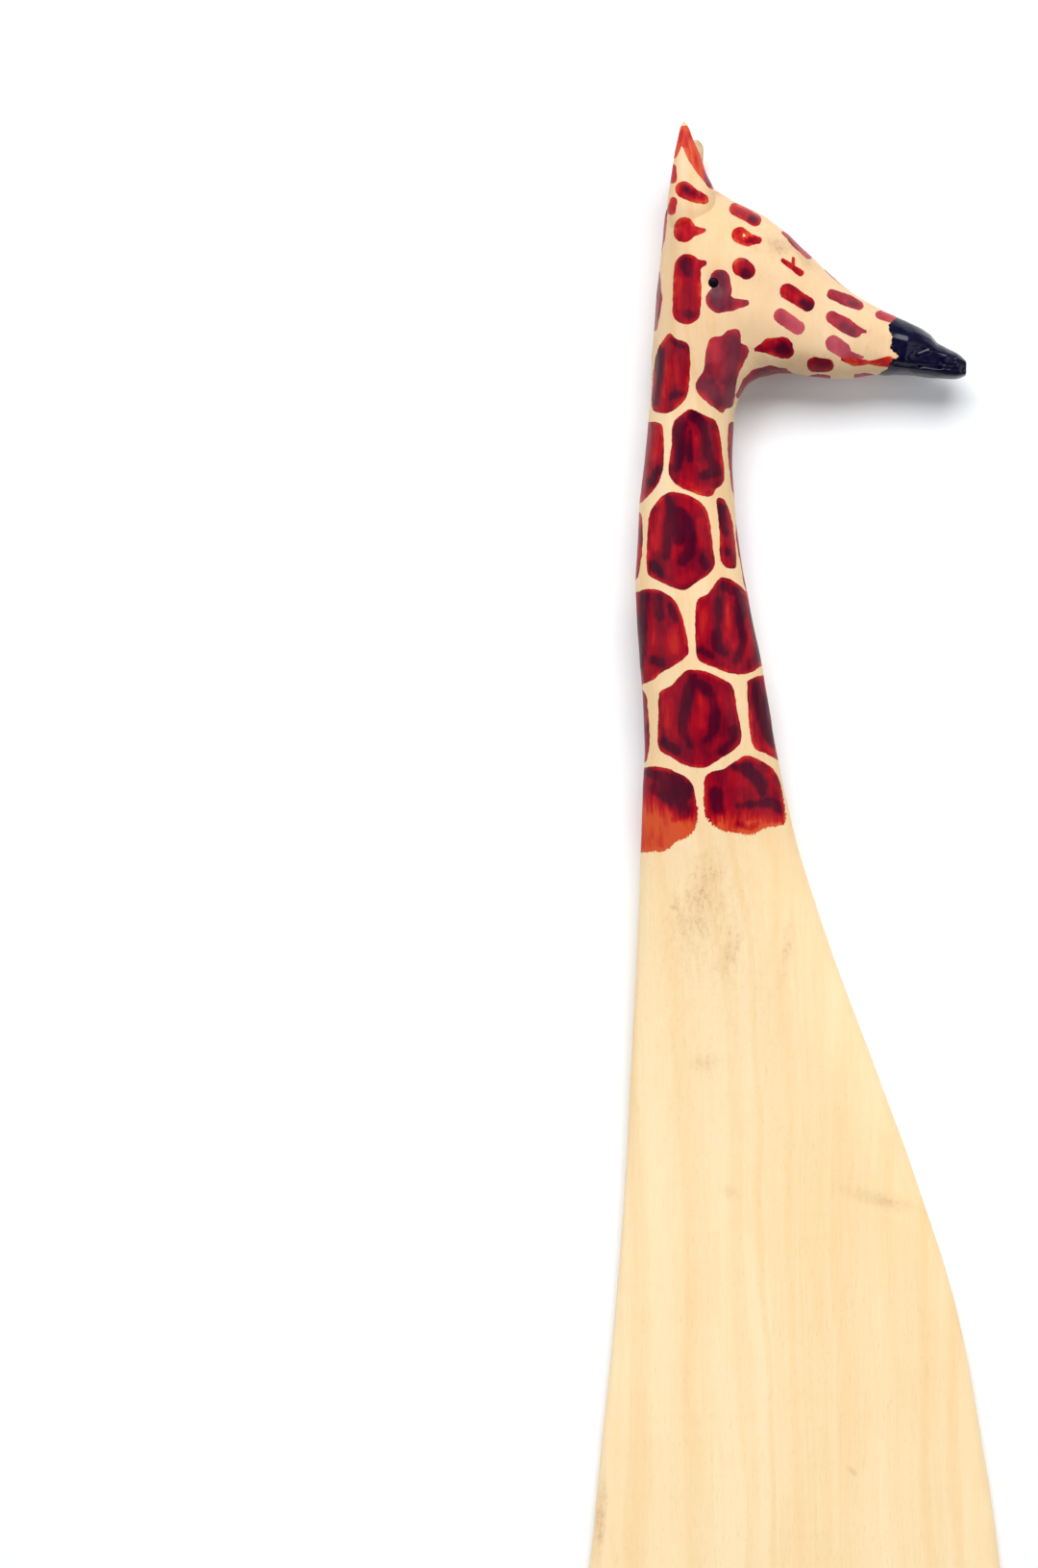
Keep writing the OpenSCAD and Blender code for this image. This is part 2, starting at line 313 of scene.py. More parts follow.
def sculpt_muzzle(skin):
    """Cuts the muzzle's flat facets, mouth, nostrils and the step on its nose."""
    side = np.where(skin.top, 1, -1)
    lift = (skin.z - skin.middle) * side
    x, y = skin.x, skin.y
    on_muzzle = (x > MUZZLE_ROOT_X - 5) & (y > MUZZLE_LOW_Y)
    past = x - MUZZLE_ROOT_X
    for facet in MUZZLE_FACETS:
        tip = facet["tip"] * (y - facet["line"] - facet["drift"] * past)
        plane = facet["height"] - facet["fall"] * past + tip - skin.middle
        plane += 4 * np.clip((2 - past) / 6, 0, 1) ** 2
        lift = np.where(on_muzzle, smooth_min(lift, plane, FACET_BLEND), lift)
    bevel = NOSE_BEVEL["height"] - NOSE_BEVEL["fall"] * (x - NOSE_BEVEL["x"]) - skin.middle
    at_nose = on_muzzle & (x > NOSE_BEVEL["x"] - 2)
    lift = np.where(at_nose, smooth_min(lift, bevel, NOSE_BEVEL["blend"]), lift)
    inner = np.clip(lift / 2.0, 0, 1) * on_muzzle
    for start, end, half_width, height in MUZZLE_MARKS:
        lift += height * groove(x, y, start, end, half_width) ** 1.3 * inner
    from_nostril = np.hypot((x - NOSTRIL["x"]) / NOSTRIL["reach_x"],
                            (y - NOSTRIL["y"]) / NOSTRIL["reach_y"])
    lift -= NOSTRIL["depth"] * fall(from_nostril) * inner
    skin.z = skin.middle + lift * side
    past_step = x - NOSE_STEP["x"]
    step = np.clip(past_step / NOSE_STEP["run"] + 1, 0, 1)
    step *= np.clip(1 - past_step / NOSE_STEP["length"], 0, 1)
    skin.y -= NOSE_STEP["depth"] * step * np.clip(skin.share * 2 - 1, 0, 1) * on_muzzle


# Where the eyes sit, how high their crowns are, how far below a crown the wood round it
# is levelled, and the radius of that level seat
EYE = (-13.4, 125.7)
EYE_CROWN = 19.95
EYE_SINK = 0.32
EYE_SEAT = 1.0

# How softly an ear's root runs into the head, and how fast it dies away below the ear
EAR_BLEND = 2.2
EAR_ROOT_Y = 139.0
EAR_ROOT_FALL = 0.3

# Dents and swellings of the head: middle x and y, reach along x and y, height
HEAD_FORMS = [
    (*EYE, 2.4, 2.2, -0.28),
    (-9.5, 121.0, 5.0, 4.0, 0.25),
    (-7.0, 131.0, 5.0, 3.0, 0.3),
    (0.0, 122.5, 6.0, 3.0, -0.35),
    (3.0, 114.0, 7.0, 2.2, 0.25),
    (-15.0, 137.5, 2.6, 2.0, 0.2),
]


def sculpt_head(skin):
    """Hollows the eye sockets, swells cheek, brow and jaw, and fairs the ears' roots in."""
    side = np.where(skin.top, 1, -1)
    inner = np.clip(np.abs(skin.height) * 1.6 - 0.4, 0, 1)
    for x, y, reach_x, reach_y, height in HEAD_FORMS:
        form = fall(np.hypot((skin.x - x) / reach_x, (skin.y - y) / reach_y))
        skin.z += side * height * form * inner
    seat = np.clip((np.hypot(skin.x - EYE[0], skin.y - EYE[1]) - EYE_SEAT) / 1.6, 0, 1)
    lift = (skin.z - skin.middle) * side
    flush = EYE_CROWN - skin.middle - EYE_SINK + 4 * seat ** 2
    skin.z = skin.middle + side * np.where(inner > 0.9, np.minimum(lift, flush), lift)
    for stations, up in ((RIGHT_EAR_STATIONS, 1), (LEFT_EAR_STATIONS, -1)):
        rows = np.array(stations)
        at = [np.interp(skin.y, rows[:, 1], rows[:, k]) for k in (0, 2, 4, 5)]
        middle, half = (at[0] + at[1]) / 2, (at[0] - at[1]) / 2
        ear_middle, ear_half = (at[2] + at[3]) / 2, (at[3] - at[2]) / 2
        arch = 1 - ((skin.x - middle) / half) ** 2
        outer = (ear_middle - skin.middle) * up + ear_half * arch
        outer -= EAR_ROOT_FALL * np.clip(EAR_ROOT_Y - skin.y, 0, None)
        near = (side == up) & (skin.y > 128) & (skin.x < -8)
        lift = (skin.z - skin.middle) * up
        raised = -smooth_min(-lift, -outer, EAR_BLEND)
        skin.z = np.where(near, skin.middle + up * np.maximum(raised, lift), skin.z)


def sculpt_ear(skin, up):
    """Carves the shallow hollow down the outer face of an ear."""
    along = np.clip((skin.y - 138) / 3, 0, 1) * np.clip((151.5 - skin.y) / 4, 0, 1)
    hollow = fall((skin.share - 0.52) / 0.2) * along
    side = np.where(skin.top, 1, -1)
    skin.z -= up * 0.45 * hollow * (side == up)


# ---------------------------------------------------------------- the painted pattern

# The neck's patches as closed outlines. A point past the rim wraps round the side.
NECK_PATCHES = [
    [(-20.5, 117.4), (-19.4, 116.5), (-17.7, 115.7), (-17.2, 114.0), (-17.4, 108.6),
     (-18.2, 106.2), (-20.3, 104.4), (-21.8, 104.2), (-23.5, 105.0), (-23.4, 109.3),
     (-23.0, 113.1), (-21.8, 116.0)],
    [(-9.4, 118.0), (-8.8, 117.0), (-8.8, 115.8), (-7.7, 115.2), (-7.6, 113.9),
     (-9.1, 110.7), (-9.6, 108.6), (-9.9, 105.6), (-11.2, 104.8), (-11.7, 104.2),
     (-13.3, 105.1), (-15.7, 107.1), (-16.3, 109.1), (-15.0, 111.2), (-14.7, 113.9),
     (-13.9, 116.4), (-12.0, 116.9), (-10.9, 117.8)],
    [(-22.4, 102.6), (-21.6, 101.1), (-21.6, 95.4), (-22.4, 92.6), (-24.0, 90.6),
     (-25.8, 89.3), (-26.9, 93.0), (-26.7, 98.6), (-25.8, 102.4), (-24.2, 102.8)],
    [(-17.0, 104.8), (-15.2, 104.0), (-13.0, 102.9), (-12.2, 100.6), (-11.5, 94.6),
     (-11.8, 92.5), (-13.0, 91.5), (-13.4, 90.6), (-14.7, 90.3), (-17.4, 91.2),
     (-19.8, 92.6), (-20.8, 94.7), (-20.3, 98.9), (-20.0, 102.6), (-18.2, 104.2)],
    [(-10.4, 102.7), (-10.8, 101.6), (-10.9, 99.0), (-10.7, 95.4), (-10.2, 91.4),
     (-9.4, 88.6), (-8.2, 89.8), (-7.8, 94.6), (-8.0, 100.2), (-9.1, 102.6)],
    [(-26.4, 87.8), (-25.3, 87.5), (-25.0, 84.5), (-25.1, 81.3), (-25.8, 76.8),
     (-27.0, 77.0), (-27.7, 80.2), (-27.7, 85.0)],
    [(-20.8, 91.0), (-18.2, 90.8), (-16.0, 89.8), (-14.6, 88.3), (-13.9, 86.1),
     (-13.3, 81.4), (-13.1, 79.2), (-13.9, 77.7), (-16.2, 76.0), (-18.2, 74.8),
     (-20.5, 75.4), (-22.9, 76.6), (-24.2, 77.8), (-24.3, 81.0), (-24.0, 86.6),
     (-23.0, 89.1)],
    [(-12.2, 90.2), (-11.2, 89.4), (-10.2, 86.6), (-9.4, 81.4), (-9.4, 78.9),
     (-10.1, 78.4), (-11.4, 78.8), (-12.2, 80.3), (-12.3, 84.2), (-12.6, 87.7),
     (-12.8, 89.8)],
    [(-9.5, 86.6), (-9.3, 82.6), (-8.6, 78.9), (-7.8, 75.0), (-6.2, 75.0), (-5.6, 80.2),
     (-6.2, 85.8), (-8.2, 88.5)],
    [(-23.0, 75.0), (-20.6, 73.9), (-19.2, 72.2), (-18.2, 69.3), (-17.4, 65.0),
     (-18.1, 63.5), (-20.0, 62.2), (-21.9, 61.1), (-23.7, 59.7), (-25.9, 59.2),
     (-27.7, 61.0), (-28.3, 67.4), (-27.7, 73.0), (-25.4, 74.7)],
    [(-11.7, 77.0), (-9.9, 76.4), (-8.0, 74.9), (-5.9, 72.2), (-4.6, 67.4), (-4.6, 63.4),
     (-6.2, 61.6), (-8.3, 60.8), (-10.6, 61.0), (-12.8, 61.8), (-15.4, 62.9),
     (-16.2, 64.6), (-16.2, 72.5), (-14.2, 74.2), (-13.0, 76.0)],
    [(-26.4, 58.4), (-24.6, 57.9), (-24.2, 55.7), (-23.9, 50.6), (-24.2, 47.2),
     (-24.8, 46.1), (-26.4, 46.6), (-27.2, 52.2)],
    [(-17.3, 61.6), (-14.7, 61.3), (-11.5, 59.9), (-10.1, 58.7), (-9.4, 54.9),
     (-8.6, 50.4), (-9.9, 48.3), (-12.5, 46.6), (-15.0, 45.3), (-18.1, 45.8),
     (-20.6, 47.2), (-22.2, 48.3), (-22.6, 50.1), (-22.4, 54.6), (-22.2, 57.8),
     (-20.3, 59.0), (-18.6, 60.8)],
    [(-5.6, 60.6), (-7.5, 59.8), (-7.7, 58.6), (-7.5, 54.2), (-7.1, 50.2), (-6.4, 48.5),
     (-4.6, 47.7), (-2.2, 46.6), (-0.8, 49.0), (-1.8, 54.6), (-3.0, 59.4), (-4.0, 60.6)],
    [(-24.3, 45.4), (-21.6, 45.4), (-19.4, 44.6), (-17.6, 43.5), (-16.5, 41.8),
     (-16.0, 38.6), (-16.0, 36.3), (-17.1, 34.2), (-19.7, 32.8), (-21.3, 31.5),
     (-23.4, 31.4), (-25.1, 31.2), (-27.2, 32.2), (-28.0, 38.6), (-27.2, 44.2)],
    [(-7.8, 47.4), (-5.6, 46.6), (-3.5, 45.3), (-2.1, 43.0), (-1.3, 39.0), (-1.1, 36.5),
     (-2.1, 35.7), (-4.8, 35.2), (-6.7, 34.2), (-9.0, 34.4), (-12.0, 35.0),
     (-13.6, 36.0), (-14.7, 37.6), (-14.9, 41.0), (-14.7, 43.7), (-13.6, 44.7),
     (-11.7, 45.1), (-9.6, 46.4)],
]
# The patch below the eye, where the dye came out more violet
VIOLET_PATCH = 1

# Strokes of a second coat, which darken the patches on the upper side of the neck, and
# thin places where the wood glows through: lists of x, y and radius.
SECOND_COAT = [
    [(-22.2, 114.5, 0.8), (-22.6, 110.0, 0.8), (-23.0, 106.0, 0.4)],
    [(-20.0, 116.3, 0.6), (-18.3, 115.3, 0.5)],
    [(-20.2, 107.0, 0.6), (-18.6, 107.3, 0.4)],
    [(-9.8, 116.0, 0.7), (-10.4, 112.0, 0.9), (-10.5, 108.0, 0.9), (-11.0, 105.3, 0.6)],
    [(-14.2, 109.0, 1.0), (-12.6, 106.4, 1.0)],
    [(-15.6, 109.0, 0.5), (-15.3, 108.0, 0.4)],
    [(-23.4, 92.8, 0.8), (-22.4, 95.0, 0.4)],
    [(-18.5, 102.5, 0.9), (-18.9, 98.0, 0.8), (-19.2, 95.0, 0.5)],
    [(-17.0, 103.6, 0.8), (-15.5, 103.0, 0.8), (-14.7, 101.0, 0.5), (-14.2, 98.0, 0.6),
     (-13.6, 96.0, 0.7), (-12.7, 94.7, 1.0), (-15.0, 93.8, 0.6)],
    [(-17.3, 101.0, 0.4), (-17.2, 96.5, 0.4)],
    [(-20.8, 90.0, 0.5), (-20.4, 88.0, 0.9), (-18.6, 87.5, 0.9), (-17.6, 86.0, 0.8),
     (-17.0, 83.0, 0.9), (-17.5, 81.0, 1.0), (-18.6, 79.5, 0.7)],
    [(-20.6, 86.5, 0.9), (-20.8, 84.0, 0.8), (-21.0, 80.5, 0.6)],
    [(-19.2, 86.8, 1.4), (-18.9, 83.5, 1.2)],
    [(-23.3, 79.0, 0.7), (-22.0, 77.5, 0.5)],
    [(-15.0, 80.0, 0.6), (-14.6, 78.7, 0.5)],
    [(-12.0, 88.5, 0.6), (-11.2, 84.5, 0.6)],
    [(-10.9, 81.4, 0.4), (-10.8, 81.2, 0.5)],
    [(-24.6, 74.0, 0.6), (-25.0, 70.0, 0.6), (-25.1, 65.0, 0.6), (-25.3, 61.5, 0.4)],
    [(-22.6, 73.5, 0.8), (-22.2, 70.5, 0.8)],
    [(-23.0, 63.2, 0.8), (-21.9, 62.5, 0.5)],
    [(-20.2, 72.0, 0.6), (-19.5, 70.0, 0.5)],
    [(-11.4, 75.6, 0.8), (-9.5, 74.8, 0.9)],
    [(-12.6, 73.0, 0.6), (-12.7, 69.0, 0.6), (-12.8, 65.5, 0.8), (-11.5, 64.3, 0.5)],
    [(-8.8, 73.5, 0.8), (-8.7, 69.0, 0.6), (-8.3, 66.5, 0.5), (-9.4, 63.0, 0.7)],
    [(-15.2, 64.9, 0.5), (-13.5, 63.8, 0.4)],
    [(-7.0, 72.0, 0.5), (-6.2, 67.0, 0.4), (-5.5, 63.4, 0.3)],
    [(-16.8, 60.5, 0.6), (-17.3, 58.5, 0.9), (-18.0, 55.0, 0.8), (-18.5, 51.5, 0.7),
     (-17.2, 49.0, 0.4)],
    [(-15.5, 59.3, 0.7), (-13.8, 57.5, 0.7), (-13.0, 54.5, 0.8), (-13.2, 51.5, 0.8),
     (-14.4, 49.9, 0.4)],
    [(-21.5, 49.7, 0.7), (-19.5, 48.0, 0.6)],
    [(-10.0, 51.7, 0.7), (-9.8, 50.0, 0.5), (-12.0, 47.9, 0.4)],
    [(-6.2, 58.8, 0.8), (-5.3, 55.0, 1.1), (-4.3, 51.0, 1.0), (-3.2, 49.5, 0.7)],
    [(-23.7, 44.4, 0.7), (-21.0, 43.3, 1.3), (-18.7, 43.0, 0.9), (-17.4, 41.2, 0.9)],
    [(-22.8, 41.8, 1.0), (-19.5, 40.5, 1.8), (-18.7, 38.0, 1.3), (-19.6, 36.8, 0.6)],
    [(-9.6, 45.4, 0.6), (-7.8, 45.0, 1.1), (-6.3, 43.8, 1.0), (-5.2, 42.0, 0.8),
     (-5.2, 41.2, 0.6)],
    [(-13.0, 41.2, 1.0), (-12.5, 38.6, 1.0)],
    [(-9.1, 39.0, 0.4), (-6.5, 39.3, 0.5), (-3.6, 39.6, 0.8), (-2.2, 38.4, 0.7)],
    [(-9.2, 36.0, 0.4), (-7.5, 35.3, 0.45), (-5.8, 36.0, 0.3)],
    [(-18.0, 129.0, 1.2), (-17.6, 127.6, 0.8)],
    [(-17.5, 120.6, 0.6), (-17.2, 120.4, 0.7)],
    [(-17.9, 141.2, 0.6), (-16.4, 140.6, 0.4)],
    [(-6.8, 136.3, 0.7), (-6.6, 136.2, 0.7)],
    [(-12.3, 126.8, 1.0), (-12.6, 122.0, 1.1)],
    [(-7.6, 132.6, 0.5), (-6.7, 132.7, 0.4)],
    [(-8.0, 127.3, 0.8), (-7.7, 127.1, 0.6)],
    [(2.5, 121.8, 0.8), (1.4, 122.2, 0.6)],
    [(-2.0, 114.6, 1.0), (-1.3, 114.3, 0.8)],
    [(9.6, 122.3, 0.5), (10.6, 121.9, 0.5)],
    [(8.0, 118.4, 0.7), (9.9, 117.4, 0.6)],
]
THIN_PLACES = [
    [(-20.8, 112.0, 0.6), (-21.2, 107.5, 0.9)],
    [(-19.5, 113.5, 0.5), (-19.3, 109.5, 0.5)],
    [(-13.2, 115.4, 0.9), (-13.0, 111.5, 0.9)],
    [(-22.7, 101.0, 0.7), (-22.9, 97.0, 0.6)],
    [(-20.3, 100.0, 0.3), (-20.4, 96.0, 0.35)],
    [(-16.2, 100.0, 0.35), (-16.1, 96.0, 0.45), (-15.3, 94.9, 0.2)],
    [(-18.5, 93.0, 0.5), (-15.6, 91.3, 0.7), (-13.9, 91.6, 0.4)],
    [(-22.7, 87.0, 0.7), (-23.0, 82.0, 0.7)],
    [(-20.0, 82.0, 0.4), (-20.1, 80.2, 0.3)],
    [(-15.6, 86.0, 0.7), (-15.2, 82.5, 0.7)],
    [(-19.0, 76.5, 0.8), (-16.8, 77.2, 0.7)],
    [(-11.9, 83.8, 0.25), (-11.7, 80.5, 0.3), (-10.4, 79.2, 0.4)],
    [(-23.7, 71.0, 0.4), (-23.4, 67.0, 0.6), (-23.6, 64.5, 0.4)],
    [(-20.2, 68.0, 0.8), (-19.8, 65.0, 0.9)],
    [(-14.8, 71.5, 0.7), (-14.9, 67.0, 0.7)],
    [(-10.8, 72.5, 0.5), (-10.8, 67.0, 0.6), (-9.7, 65.0, 0.3)],
    [(-7.2, 68.0, 0.35), (-7.4, 64.0, 0.4)],
    [(-15.5, 57.0, 0.4), (-15.3, 52.5, 0.75)],
    [(-20.6, 56.0, 0.9), (-20.8, 52.5, 0.8)],
    [(-12.2, 50.0, 0.4), (-13.8, 48.2, 0.4)],
    [(-5.6, 49.3, 0.3), (-3.5, 48.0, 0.3)],
    [(-7.3, 55.0, 0.25), (-7.0, 51.0, 0.25)],
    [(-8.6, 42.5, 0.5), (-8.9, 40.2, 0.5), (-8.0, 37.6, 0.7)],
    [(-3.9, 44.0, 0.5), (-2.8, 42.0, 0.4)],
    [(-19.0, 126.6, 0.5), (-19.0, 122.0, 0.6)],
    [(-19.3, 141.8, 0.3), (-19.2, 140.8, 0.3)],
    [(-16.0, 139.3, 0.3), (-14.8, 139.3, 0.4)],
    [(-18.9, 135.5, 0.5), (-19.2, 134.2, 0.4)],
    [(-16.6, 134.5, 0.3), (-15.2, 134.5, 0.3)],
    [(-10.3, 138.2, 0.6), (-9.0, 138.6, 0.4)],
    [(-9.9, 134.0, 0.4), (-9.6, 132.9, 0.4)],
    [(-9.4, 129.0, 0.6), (-9.6, 128.0, 0.5)],
    [(-1.6, 124.6, 0.6), (0.4, 123.2, 0.4)],
    [(6.2, 119.6, 0.4), (8.0, 118.2, 0.3)],
    [(-4.8, 115.6, 0.6), (-3.0, 115.9, 0.4)],
    [(6.2, 124.1, 0.4), (8.4, 122.8, 0.3)],
]

# Rows of patches on the hidden side of the neck: middle y, half height, the bare margins
# next to the back and front rims, and how many patches share the row.
HIDDEN_ROWS = [
    (110.8, 6.4, 1.4, 1.6, 2),
    (96.8, 6.5, 3.3, 3.2, 1),
    (82.8, 6.4, 3.4, 3.9, 1),
    (67.8, 6.9, 3.5, 3.0, 2),
    (53.4, 6.4, 3.0, 3.4, 1),
    (38.9, 6.6, 4.0, 2.0, 2),
]
HIDDEN_GAP = 1.2

# The head's spots, each made of brush strokes. A stroke is a list of x, y and radius.
# Then the tone (0 wine, 1 vermilion) and the wash (0 full dye, 1 rinsed out).
HEAD_SPOTS = [
    ([[(-20.1, 144.9, 0.6), (-20.2, 143.0, 0.75)]], 0.8, 0.1),
    ([[(-18.3, 141.2, 1.4), (-16.5, 140.1, 1.1), (-15.0, 139.6, 0.85)]], 0.6, 0),
    ([[(-20.0, 139.4, 0.6), (-20.3, 137.8, 0.75)]], 0.75, 0.1),
    ([[(-18.2, 134.9, 1.7), (-18.2, 134.2, 1.8)],
      [(-17.4, 134.3, 1.2), (-16.2, 134.3, 0.75), (-14.9, 134.4, 0.38)]], 0.65, 0),
    ([[(-17.7, 128.3, 2.2), (-17.7, 125.0, 2.35), (-17.8, 121.1, 2.3)],
      [(-15.8, 128.7, 0.8), (-14.9, 128.9, 0.5)]], 0.6, 0),
    ([[(-12.3, 126.2, 1.7), (-11.9, 124.4, 1.6), (-12.6, 122.9, 2.1)],
      [(-12.2, 122.5, 2.0), (-10.4, 122.1, 1.15), (-7.9, 122.3, 0.5)]], 0.25, 0.2),
    ([[(-9.6, 138.0, 1.15), (-6.5, 136.3, 1.15)]], 0.65, 0),
    ([[(-9.0, 133.6, 1.4), (-7.7, 132.9, 1.2), (-6.0, 132.8, 0.7)]], 0.65, 0),
    ([[(-8.8, 128.3, 1.55), (-7.9, 127.7, 1.5)]], 0.5, 0),
    ([[(-1.8, 129.4, 0.4), (1.0, 127.4, 0.62)],
      [(-0.1, 128.8, 0.3), (-0.1, 129.8, 0.28)]], 0.55, 0),
    ([[(-1.7, 134.2, 0.3), (0.4, 132.4, 0.75), (2.5, 130.4, 0.65)]], 0.45, 0.3),
    ([[(-1.1, 124.3, 1.3), (2.2, 122.2, 1.25)]], 0.5, 0),
    ([[(-2.2, 120.2, 1.25), (0.6, 118.3, 1.2)]], 0.5, 0.65),
    ([[(6.4, 123.9, 0.9), (8.8, 122.9, 1.05), (10.8, 122.0, 0.8)]], 0.45, 0.3),
    ([[(6.4, 120.0, 1.1), (8.6, 118.7, 1.3), (10.2, 117.7, 1.1)],
      [(10.6, 118.0, 0.6), (11.9, 117.7, 0.25)]], 0.4, 0.3),
    ([[(6.6, 115.7, 1.4), (8.2, 114.6, 1.3)],
      [(8.8, 114.0, 0.75), (11.4, 113.4, 0.25)]], 0.5, 0.75),
    ([[(8.0, 113.1, 0.25), (10.2, 112.6, 0.7), (12.6, 112.6, 0.3),
       (14.2, 112.6, 0.65), (15.8, 112.7, 0.95)]], 0.95, 0),
    ([[(3.4, 112.2, 1.2), (5.6, 112.0, 1.1)]], 0.4, 0),
    ([[(-6.3, 114.7, 0.35), (-4.0, 115.2, 1.35), (-1.9, 115.0, 1.75),
       (-1.1, 114.4, 1.15)]], 0.45, 0),
    ([[(-9.0, 107.2, 0.5), (-7.7, 109.3, 0.9), (-6.2, 110.2, 1.3), (-3.8, 110.6, 1.5),
       (-1.9, 110.5, 1.25), (-0.3, 110.3, 0.6)]], 0.3, 0.2),
    ([[(2.6, 110.2, 0.3), (4.0, 110.1, 0.65), (5.9, 110.1, 0.3)]], 0.4, 0.4),
    ([[(10.4, 110.4, 0.3), (12.0, 110.3, 0.6), (13.4, 110.4, 0.3)]], 0.4, 0.4),
    ([[(14.3, 120.5, 0.75), (16.0, 120.0, 0.75), (17.1, 119.7, 0.6)]], 0.6, 0.5),
    ([[(-22.6, 127.7, 0.5), (-22.7, 123.4, 1.0), (-23.1, 118.6, 0.7)]], 0.3, 0.2),
    ([[(-21.1, 138.0, 0.2), (-21.7, 133.0, 0.35), (-22.0, 131.0, 0.2)]], 0.4, 0.2),
    ([[(5.4, 128.1, 0.2), (7.6, 126.2, 0.35), (9.6, 124.7, 0.2)]], 0.4, 0.3),
    ([[(-23.9, 113.0, 0.2), (-24.3, 109.0, 0.4), (-24.4, 105.6, 0.25)]], 0.3, 0.2),
]
# Chips that have lost their paint, the last of them in the black: x, y, radius
CHIPS = [(-8.3, 133.5, 0.24), (-7.3, 114.4, 0.2), (16.8, 113.7, 0.5)]

# The dyed part of an ear's outer face, round a bare tongue that narrows to a point
EAR_DYE = [(-18.9, 151.8), (-17.8, 151.9), (-15.2, 149.5), (-13.8, 146.0), (-12.0, 142.5),
           (-12.2, 141.2), (-13.8, 141.3), (-14.3, 141.9), (-15.4, 143.1), (-16.6, 144.6),
           (-17.6, 146.3), (-18.3, 148.0), (-18.6, 148.5), (-19.1, 147.4), (-19.6, 146.5),
           (-21.0, 146.4), (-21.2, 148.5), (-20.2, 151.0)]

# A violet stroke in that dye, down the front rim: darkest dye, with a violet wash that paints in
# the bluish reflection of the rim's sheen. x, y, radius. Its depth is multiplied, so that it lies
# over the red round it.
SHEEN_STROKE_WEIGHT = 4
VIOLET_DYE_AND_SHEEN = [(-15.3, 145.4, 0.2), (-14.6, 143.6, 0.5), (-14.0, 142.2, 0.6)]

# The ragged edge of the black paint on the muzzle, from the nose down to the jaw
BLACK_EDGE = [(17.3, 120.2), (15.9, 119.1), (15.8, 118.3), (16.3, 116.8), (16.3, 115.7),
              (16.1, 114.9), (16.7, 114.2), (16.7, 113.3), (16.1, 112.7), (15.8, 111.6),
              (15.0, 111.2), (14.0, 110.6)]

# Soiled places on the upper side: x, y, half length, half width, turn, strength
SOILED = [
    (-15.2, 24.0, 6.0, 2.6, 72, 0.42), (-15.5, 21.0, 9.0, 6.0, 80, 0.2),
    (-19.7, 22.2, 0.45, 0.35, 0, 1.0),
    (-10.6, 14.5, 3.6, 1.2, 72, 0.5), (-0.8, 15.4, 4.0, 0.8, 82, 0.4),
    (-14.7, -3.8, 1.8, 1.2, 20, 0.45), (-10.4, -25.4, 1.3, 1.0, 0, 0.35),
    (14.5, -26.6, 5.5, 1.0, -14, 0.55), (-32.0, -80.0, 6.0, 0.8, 86, 0.7),
    (10.0, -72.0, 0.45, 0.4, 0, 0.7), (-12.0, 12.0, 24.0, 14.0, 90, 0.12),
    (-6.6, 131.5, 1.3, 0.6, -30, 0.9), (-2.6, 131.8, 2.2, 1.3, -20, 1.6),
    (1.2, 130.8, 2.2, 1.0, -60, 1.5), (2.6, 128.8, 1.4, 0.8, -40, 0.8),
    (-6.3, 127.0, 2.0, 1.6, 0, 0.4), (12.0, 118.0, 2.0, 1.0, 0, 0.5),
    (11.5, 115.3, 2.4, 1.1, 0, 0.55), (3.0, 113.6, 8.0, 1.0, 0, 0.35),
    (-13.4, 140.6, 1.2, 0.8, -30, 0.5),
]
FAR = -6.0


def closed_curve(points, steps=5):
    """A smooth closed outline through the points."""
    points = np.array(points, float)
    corners = [np.roll(points, k, 0) for k in (1, 0, -1, -2)]
    spans = [between(*corners, k / steps) for k in range(steps)]
    return np.stack(spans, 1).reshape(-1, 2)


def outline_depth(plan, outline):
    """How far each place lies inside a closed outline, negative outside it."""
    depth = np.full(plan.shape[:-1], FAR)
    low, high = outline.min(0) + FAR / 2, outline.max(0) - FAR / 2
    near = np.all((plan > low) & (plan < high), -1)
    places = plan[near]
    if not len(places):
        return depth
    best = np.full(len(places), np.inf)
    inside = np.zeros(len(places), bool)
    for a, b in zip(outline, np.roll(outline, -1, 0)):
        edge, to = b - a, places - a
        t = np.clip(to @ edge / max(edge @ edge, 1e-9), 0, 1)
        best = np.minimum(best, np.sum((to - t[:, None] * edge) ** 2, 1))
        if a[1] != b[1]:
            spans = (a[1] > places[:, 1]) != (b[1] > places[:, 1])
            inside ^= spans & (to[:, 0] < edge[0] * to[:, 1] / edge[1])
    depth[near] = np.sqrt(best) * np.where(inside, 1, -1)
    return depth


def stroke_depth(plan, stroke):
    """How far each place lies inside a brush stroke, negative outside it."""
    depth = np.full(plan.shape[:-1], FAR)
    for (ax, ay, ar), (bx, by, br) in zip(stroke, stroke[1:]):
        line = np.array([bx - ax, by - ay])
        to = plan - [ax, ay]
        t = np.clip(to @ line / max(line @ line, 1e-9), 0, 1)
        away = np.linalg.norm(to - t[..., None] * line, axis=-1)
        depth = np.maximum(depth, ar + t * (br - ar) - away)
    return depth


